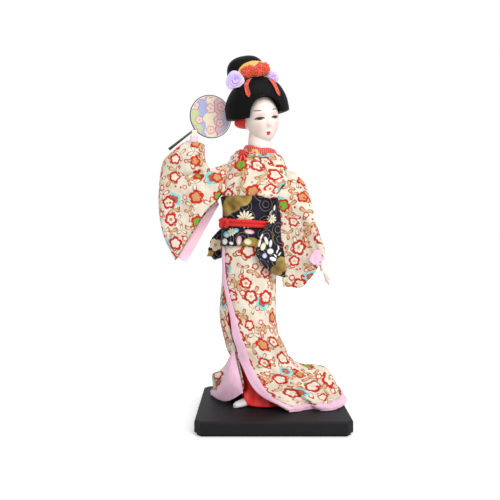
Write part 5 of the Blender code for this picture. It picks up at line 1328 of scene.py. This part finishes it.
def make_hard(look):
    """Materials of the pieces that stay as the model has them."""
    names = {"plinth": "lacquer", "stand_rod": "steel", "torso_core": "cotton", "right_leg": "cotton",
             "left_leg": "cotton", "right_tabi": "sock", "left_tabi": "sock", "right_arm": "cotton",
             "left_arm": "cotton", "comb": "comb", "fan_rim": "gloss", "fan_handle": "gloss",
             "right_hand": "skin", "left_hand": "skin"}
    for node, key in names.items():
        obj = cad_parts[node]
        obj.data.materials.clear()
        obj.data.materials.append(look[key])
    start, end = Vector(HANDLE_START), Vector(HANDLE_END)
    axis = (end - start).normalized()
    across = Matrix.Rotation(math.radians(FAN_LEAN), 3, axis) @ axis.cross(Vector((0, 1, 0))).normalized()
    turn = Matrix((across, axis, across.cross(axis))).transposed()
    place = Matrix.Translation((end + axis * (FAN_RADIUS + GAP)) * MM) @ turn.to_4x4()
    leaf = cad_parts["fan_leaf"]
    leaf.data.materials.clear()
    leaf.data.materials.append(fan_material(look["fields"], place))


def make_stage(lens, key, fill):
    """Camera at the photograph's place, soft lights, pale background and the floor with its shadow."""
    scene = bpy.context.scene
    camera = linked("camera", bpy.data.cameras.new("camera"))
    camera.location = CAMERA_PLACE
    camera.rotation_euler = (math.pi / 2, 0, 0)
    camera.data.lens, camera.data.sensor_width = lens, 36.0
    camera.data.shift_y = CAMERA_SHIFT
    camera.data.clip_start = 0.01
    scene.camera = camera
    scene.view_settings.view_transform = "Standard"
    for name, (place, aim, size), power in (("key", KEY_LIGHT, key), ("fill", FILL_LIGHT, fill),
                                            ("top", TOP_LIGHT, TOP_SHARE * fill)):
        light = linked(name, bpy.data.lights.new(name, "AREA"))
        light.data.size, light.data.energy = size, power
        light.location = place
        light.rotation_euler = (Vector(aim) - Vector(place)).to_track_quat("-Z", "Y").to_euler()
    world = bpy.data.worlds.new("studio")
    scene.world = world
    world.use_nodes = True
    g = Graph(world.node_tree)
    path = g.node("ShaderNodeLightPath")
    seen = g.math("MAXIMUM", g.math("MAXIMUM", path.outputs["Is Camera Ray"], path.outputs["Is Glossy Ray"]),
                  path.outputs["Is Transmission Ray"])
    plain = world.node_tree.nodes["Background"]
    plain.inputs["Color"].default_value = (1, 1, 1, 1)
    plain.inputs["Strength"].default_value = 0.5
    white = g.node("ShaderNodeBackground", {"Color": (1, 1, 1, 1), "Strength": 1.0})
    mixed = g.node("ShaderNodeMixShader", {0: seen, 1: plain.outputs[0], 2: white.outputs[0]})
    g.tree.links.new(mixed.outputs[0], world.node_tree.nodes["World Output"].inputs[0])
    mesh = bpy.data.meshes.new("floor")
    mesh.from_pydata([(-3, -3, -0.0002), (3, -3, -0.0002), (3, 3, -0.0002), (-3, 3, -0.0002)], [], [(0, 1, 2, 3)])
    floor = linked("floor", mesh)
    mat, g, shader = finish("pale_floor", (0.9, 0.9, 0.9), 0.9)
    seen = g.node("ShaderNodeLightPath").outputs["Is Camera Ray"]
    away = g.vector("LENGTH", g.node("ShaderNodeTexCoord").outputs["Object"], output="Value")
    glow = g.node("ShaderNodeMapRange", {"Value": away, "From Min": 0.08, "From Max": 0.3,
                                         "To Min": 0.3, "To Max": 1.0})
    shader.inputs["Emission Color"].default_value = (1, 1, 1, 1)
    g.tree.links.new(g.math("MULTIPLY", seen, glow.outputs[0]), shader.inputs["Emission Strength"])
    mesh.materials.append(mat)


class DollSettings(bpy.types.PropertyGroup):
    """Sizes and strengths of the doll's cloth, face and light."""

    fold_depth: bpy.props.FloatProperty(name="Fold depth", description="Depth of the folds against the usual",
                                        default=1.0, min=0.0, max=2.0)
    crease: bpy.props.FloatProperty(name="Crease", description="Strength of small creases against the usual",
                                    default=1.0, min=0.0, max=2.0)
    relief: bpy.props.FloatProperty(name="Face relief", description="How far the features stand out",
                                    default=1.0, min=0.0, max=1.5)
    strand: bpy.props.FloatProperty(name="Cord strand", description="Radius of one strand of the cord, in metres",
                                    default=0.0016, min=0.0005, max=0.003, unit="LENGTH", precision=4)
    lens: bpy.props.FloatProperty(name="Lens", description="Focal length in millimetres", default=38.16, min=10,
                                  max=200, unit="CAMERA")
    key: bpy.props.FloatProperty(name="Key light", description="Power of the main light", default=4.9, min=0,
                                 unit="POWER")
    fill: bpy.props.FloatProperty(name="Fill light", description="Power of each softer light", default=2.0, min=0,
                                  unit="POWER")


LOOK = {}


def look():
    """Materials, made once."""
    if not LOOK:
        LOOK.update(all_materials())
    return LOOK


class DOLL_OT_robe(bpy.types.Operator):
    """Skirt with its train, facings, turned corner and the under-robe"""

    bl_idname = "doll.robe"
    bl_label = "Robe"

    def execute(self, context):
        make_robe(look(), context.scene.doll.fold_depth)
        return {"FINISHED"}


class DOLL_OT_bodice(bpy.types.Operator):
    """Upper robe and the two collars"""

    bl_idname = "doll.bodice"
    bl_label = "Bodice"

    def execute(self, context):
        make_bodice(look(), context.scene.doll.fold_depth)
        return {"FINISHED"}


class DOLL_OT_sleeves(bpy.types.Operator):
    """Both sleeves, their lining and cuffs"""

    bl_idname = "doll.sleeves"
    bl_label = "Sleeves"

    def execute(self, context):
        make_sleeves(look(), context.scene.doll.fold_depth)
        return {"FINISHED"}


class DOLL_OT_obi(bpy.types.Operator):
    """Sash, its hanging leaf, bow and puff"""

    bl_idname = "doll.obi"
    bl_label = "Sash"

    def execute(self, context):
        make_obi(look(), context.scene.doll.crease)
        return {"FINISHED"}


class DOLL_OT_cord(bpy.types.Operator):
    """Twisted cord round the sash with its knot"""

    bl_idname = "doll.cord"
    bl_label = "Cord"

    def execute(self, context):
        make_cord(look(), context.scene.doll.strand / MM)
        return {"FINISHED"}


class DOLL_OT_head(bpy.types.Operator):
    """Head with the modelled and painted face"""

    bl_idname = "doll.head"
    bl_label = "Head"

    def execute(self, context):
        make_head(look(), context.scene.doll.relief)
        return {"FINISHED"}


class DOLL_OT_hair(bpy.types.Operator):
    """Hood, topknot and nape roll"""

    bl_idname = "doll.hair"
    bl_label = "Hair"

    def execute(self, context):
        make_hair(look(), context.scene.doll.crease)
        return {"FINISHED"}


class DOLL_OT_ornaments(bpy.types.Operator):
    """Hair cloth, ribbons and roses"""

    bl_idname = "doll.ornaments"
    bl_label = "Ornaments"

    def execute(self, context):
        make_ornaments(look(), context.scene.doll.crease)
        return {"FINISHED"}


class DOLL_OT_hard(bpy.types.Operator):
    """Materials of plinth, fan, comb, feet and hands"""

    bl_idname = "doll.hard"
    bl_label = "Hard pieces"

    def execute(self, context):
        make_hard(look())
        return {"FINISHED"}


class DOLL_OT_stage(bpy.types.Operator):
    """Camera, lights, background and floor"""

    bl_idname = "doll.stage"
    bl_label = "Stage"

    def execute(self, context):
        settings = context.scene.doll
        make_stage(settings.lens, settings.key, settings.fill)
        return {"FINISHED"}


OPERATORS = (DOLL_OT_stage, DOLL_OT_robe, DOLL_OT_bodice, DOLL_OT_sleeves, DOLL_OT_obi, DOLL_OT_cord, DOLL_OT_head,
             DOLL_OT_hair, DOLL_OT_ornaments, DOLL_OT_hard)


class DOLL_PT_panel(bpy.types.Panel):
    """Settings and buttons of the doll"""

    bl_label = "Doll"
    bl_idname = "DOLL_PT_panel"
    bl_space_type = "VIEW_3D"
    bl_region_type = "UI"
    bl_category = "Doll"

    def draw(self, context):
        """Draw settings and buttons."""
        for name in ("fold_depth", "crease", "relief", "strand", "lens", "key", "fill"):
            self.layout.prop(context.scene.doll, name)
        for operator in OPERATORS:
            self.layout.operator(operator.bl_idname)


def register():
    """Add the settings, operators and panel to Blender."""
    for item in (DollSettings, *OPERATORS, DOLL_PT_panel):
        bpy.utils.register_class(item)
    bpy.types.Scene.doll = bpy.props.PointerProperty(type=DollSettings)


def unregister():
    """Take them out again."""
    del bpy.types.Scene.doll
    for item in (DOLL_PT_panel, *reversed(OPERATORS), DollSettings):
        bpy.utils.unregister_class(item)


def main():
    """Run every operator in order."""
    register()
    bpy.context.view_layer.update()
    for operator in OPERATORS:
        group_name, name = operator.bl_idname.split(".")
        if getattr(getattr(bpy.ops, group_name), name)() != {"FINISHED"}:
            raise RuntimeError(f"{operator.bl_label} did not finish")


if __name__ == "__main__":
    main()
